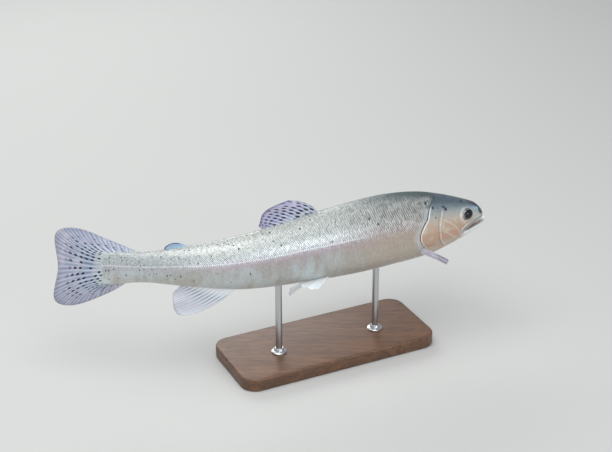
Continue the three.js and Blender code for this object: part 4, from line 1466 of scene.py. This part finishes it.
# %% Fins of the middle line
MIDDLE_FINS = {
    "dorsal": {
        "ray": middle_ray(
            roots=[(163, 26), (178, 25), (195, 23.5), (212, 21.5)],
            tips=[(192, 44.6), (204, 42.6), (212, 40.4), (217.5, 36), (220.5, 29.5), (221.5, 26.5)],
            rise=(60, 18), sway=1.5),
        "thick": 2.6, "rays": 13, "finish": "dorsal", "wave": 0.6, "fray": 0.01,
    },
    "adipose": {
        "ray": middle_ray(
            roots=[(285, 15.5), (290, 15), (295, 14.6)],
            tips=[(293, 20.8), (299, 21.2), (303.5, 19.2), (305.5, 16.6), (303, 15.4)],
            rise=(75, 5), sway=-1.6),
        "thick": 3, "rays": 6, "finish": "adipose", "edge": 0.7, "wave": 0.0, "fray": 0.0, "steps": 24,
    },
    "anal": {
        "ray": middle_ray(
            roots=[(243, -22.5), (257, -20), (273, -17), (289, -14.5)],
            tips=[(286, -43.6), (295, -43.2), (299, -38), (300, -30), (299.5, -24), (297, -20)],
            rise=(-40, -28), sway=-2),
        "thick": 2.4, "rays": 12, "finish": "anal", "wave": 0.8,
    },
    "tail": {
        "ray": middle_ray(
            roots=[(327, 9), (341, 11), (351.5, 12), (351.5, 8), (351.5, 0), (351.5, -8), (351.5, -12),
                   (345, -11), (333, -9)],
            tips=[(331, 14.4), (352, 23.6), (379, 34.6), (397, 29.5), (396, 0), (401, -28.5), (386, -35),
                  (357, -24.4), (337, -14.4)],
            rise=(24, -24), sway=4),
        "thick": 5, "rays": 26, "finish": "tail", "steps": 56, "columns": 6, "wave": 0.9, "ruffle": 3.0,
        "fray": 0.006,
    },
}
for fin_name, how in MIDDLE_FINS.items():
    fin = make_fin("fin_rays_" + fin_name, **how)
    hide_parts("fin_" + fin_name)
print("middle fins:", list(MIDDLE_FINS))


# %% Paired fins
PECTORAL_ROOT = {"root_from": (71.5, 129), "root_to": (75, 141), "droop": 1.5}
PELVIC_ROOT = {"root_from": (160.5, 160), "root_to": (169, 168), "droop": 0, "length": lambda v: mix(38, 26, v)}
PAIRED_FINS = {
    "pectoral_left": {
        "lead": (0.28, 0.9, 0.34), "trail": (0.7, 0.7, 0.18), "length": lambda v: mix(42, 27, smooth(v)),
    },
    "pectoral_right": {
        "lead": (-0.07, 0.99, -0.04), "trail": (-0.17, 0.98, 0.01), "length": lambda v: mix(41, 39, v),
    },
    "pelvic_left": {"lead": (0.81, 0.26, 0.52), "trail": (0.93, 0.12, 0.33)},
    "pelvic_right": {"lead": (0.68, 0.73, 0.0), "trail": (0.92, 0.38, 0.0)},
}
for fin_name, how in PAIRED_FINS.items():
    kind, side_name = fin_name.split("_")
    root = PECTORAL_ROOT if kind == "pectoral" else PELVIC_ROOT
    ray = paired_ray(SIDES[side_name], **root, **how)
    thick, rays = (3, 12) if kind == "pectoral" else (2.4, 10)
    fin = make_fin("fin_rays_" + fin_name, ray, thick, rays, kind, wave=0.7)
    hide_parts("fin_" + fin_name)
print("paired fins:", list(PAIRED_FINS))

# %% [markdown]
# ## The display stand
#
# A museum stand is a hardwood board with softened edges and two steel rods. The board could keep the
# solid's plain chamfer, but wood catches the light along a rounded edge, so it is a block whose corners and
# edges are bevelled in two passes. The rods are turned pieces: each has a small collar where it enters the
# board.

# %% Board
BOARD = {"length": 190, "width": 80, "thick": 12, "corner": 14, "edge": 1.8}
RODS_AT = {"front": 112, "rear": 208}
ROD_RADIUS = 3
front_x, front_y = spine_at(RODS_AT["front"])
rear_x, rear_y = spine_at(RODS_AT["rear"])
BOARD_TURN = math.atan2(front_y - rear_y, front_x - rear_x)


def make_wood_finish():
    finish, tree, shader = new_material("oiled_walnut", Coat_Weight=0.15, Coat_Roughness=0.3)
    place = add_node(tree, "ShaderNodeTexCoord").outputs["Object"]
    grain = stretched(tree, place, (5, 60, 60), turn=-BOARD_TURN)
    rings = math_of(tree, "FRACT", product(tree, noise(tree, grain, 1.6, 3.0, distortion=0.6), 5.0))
    fine = noise(tree, grain, 14.0, 4.0)
    colour = ramp(tree, rings, [(0, paint(112, 78, 54)), (0.7, paint(88, 60, 42)), (1, paint(108, 74, 52))])
    colour = blend(tree, between(tree, fine, 0.5, 0.72), colour, paint(64, 42, 30))
    wire(tree, shader, {"Base Color": colour, "Roughness": rescaled(tree, fine, 0, 1, 0.38, 0.55)})
    bump(tree, shader, fine, 0.25, 0.0002)
    return finish


board_mesh = bmesh.new()
bmesh.ops.create_cube(board_mesh, size=1)
bmesh.ops.scale(board_mesh, vec=(BOARD["length"], BOARD["width"], BOARD["thick"]), verts=board_mesh.verts)
upright = [e for e in board_mesh.edges if abs(e.verts[0].co.z - e.verts[1].co.z) > 1]
rounded = {"profile": 0.5, "affect": "EDGES", "material": -1}
bmesh.ops.bevel(board_mesh, geom=upright, offset=BOARD["corner"], segments=12, **rounded)
rims = [e for e in board_mesh.edges if abs(e.verts[0].co.z - e.verts[1].co.z) < 0.01]
bmesh.ops.bevel(board_mesh, geom=rims, offset=BOARD["edge"], segments=5, **rounded)
to_place = Matrix.Rotation(BOARD_TURN, 4, "Z") @ Matrix.Translation((0, 0, BOARD["thick"] / 2))
bmesh.ops.transform(board_mesh, matrix=Matrix.Scale(MM, 4) @ to_place, verts=board_mesh.verts)
board = finish_mesh(board_mesh, "stand_board", make_wood_finish(), straight=False)
board.data.set_sharp_from_angle(angle=math.radians(40))
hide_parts("stand_base")
print("board made, turned by", round(math.degrees(BOARD_TURN), 1), "degrees")


# %% Rods and collars
ROD_SPARE = 3  # a rod runs on this far into the fish
ROD_SUNK, COLLAR_SUNK = 1, 0.2  # how far a rod and its collar are let into the board
# Radius and height of each corner of a collar's outline
COLLAR = [(ROD_RADIUS, 0.0), (7, 0.0), (7, 1.4), (6.4, 2.0), (4.6, 2.3), (3.9, 4.2), (3.5, 4.6),
          (ROD_RADIUS, 4.6)]


def make_steel_finish():
    finish, tree, shader = new_material("brushed_rod", Metallic=1.0, Base_Color=paint(196, 198, 200))
    place = add_node(tree, "ShaderNodeTexCoord").outputs["Object"]
    lines = noise(tree, stretched(tree, place, (900, 900, 40)), 1.0, 3.0)
    wire(tree, shader, {"Roughness": rescaled(tree, lines, 0, 1, 0.22, 0.42)})
    bump(tree, shader, lines, 0.2, 0.00005)
    return finish


steel_finish = make_steel_finish()


def make_turned(name, outline, place):
    """Spins an outline of (radius, height) points, in millimetres, about an upright axis."""
    bm = bmesh.new()
    corners = [bm.verts.new((radius, 0, height)) for radius, height in outline]
    for a, b in zip(corners, corners[1:]):
        bm.edges.new((a, b))
    bmesh.ops.spin(bm, geom=bm.verts[:] + bm.edges[:], cent=(0, 0, 0), axis=(0, 0, 1), angle=2 * math.pi,
                   steps=48, use_merge=True)
    bmesh.ops.remove_doubles(bm, verts=bm.verts, dist=0.001)
    bmesh.ops.translate(bm, vec=place, verts=bm.verts)
    bmesh.ops.scale(bm, vec=(MM, MM, MM), verts=bm.verts)
    made = finish_mesh(bm, name, steel_finish, straight=False)
    made.data.set_sharp_from_angle(angle=math.radians(40))
    return made


for rod_name, s in RODS_AT.items():
    x, y, belly_height = bend(body(float(s), math.pi)) / MM
    foot, top = BOARD["thick"] - ROD_SUNK, belly_height + ROD_SPARE
    outline = [(0, foot), (ROD_RADIUS, foot), (ROD_RADIUS, top), (0, top)]
    rod = make_turned("rod_" + rod_name, outline, (x, y, 0))
    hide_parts("stand_rod_" + rod_name)
    make_turned("collar_" + rod_name, COLLAR, (x, y, BOARD["thick"] - COLLAR_SUNK))
print("rods and collars made")

# %% The floor
floor_mesh = bmesh.new()
bmesh.ops.create_grid(floor_mesh, x_segments=1, y_segments=1, size=4)
floor_data = bpy.data.meshes.new("floor")
floor_mesh.to_mesh(floor_data)
floor_mesh.free()
floor_finish = new_material("floor", Base_Color=paint(188, 189, 188), Roughness=0.85)[0]
floor_data.materials.append(floor_finish)
add_object("floor", floor_data)
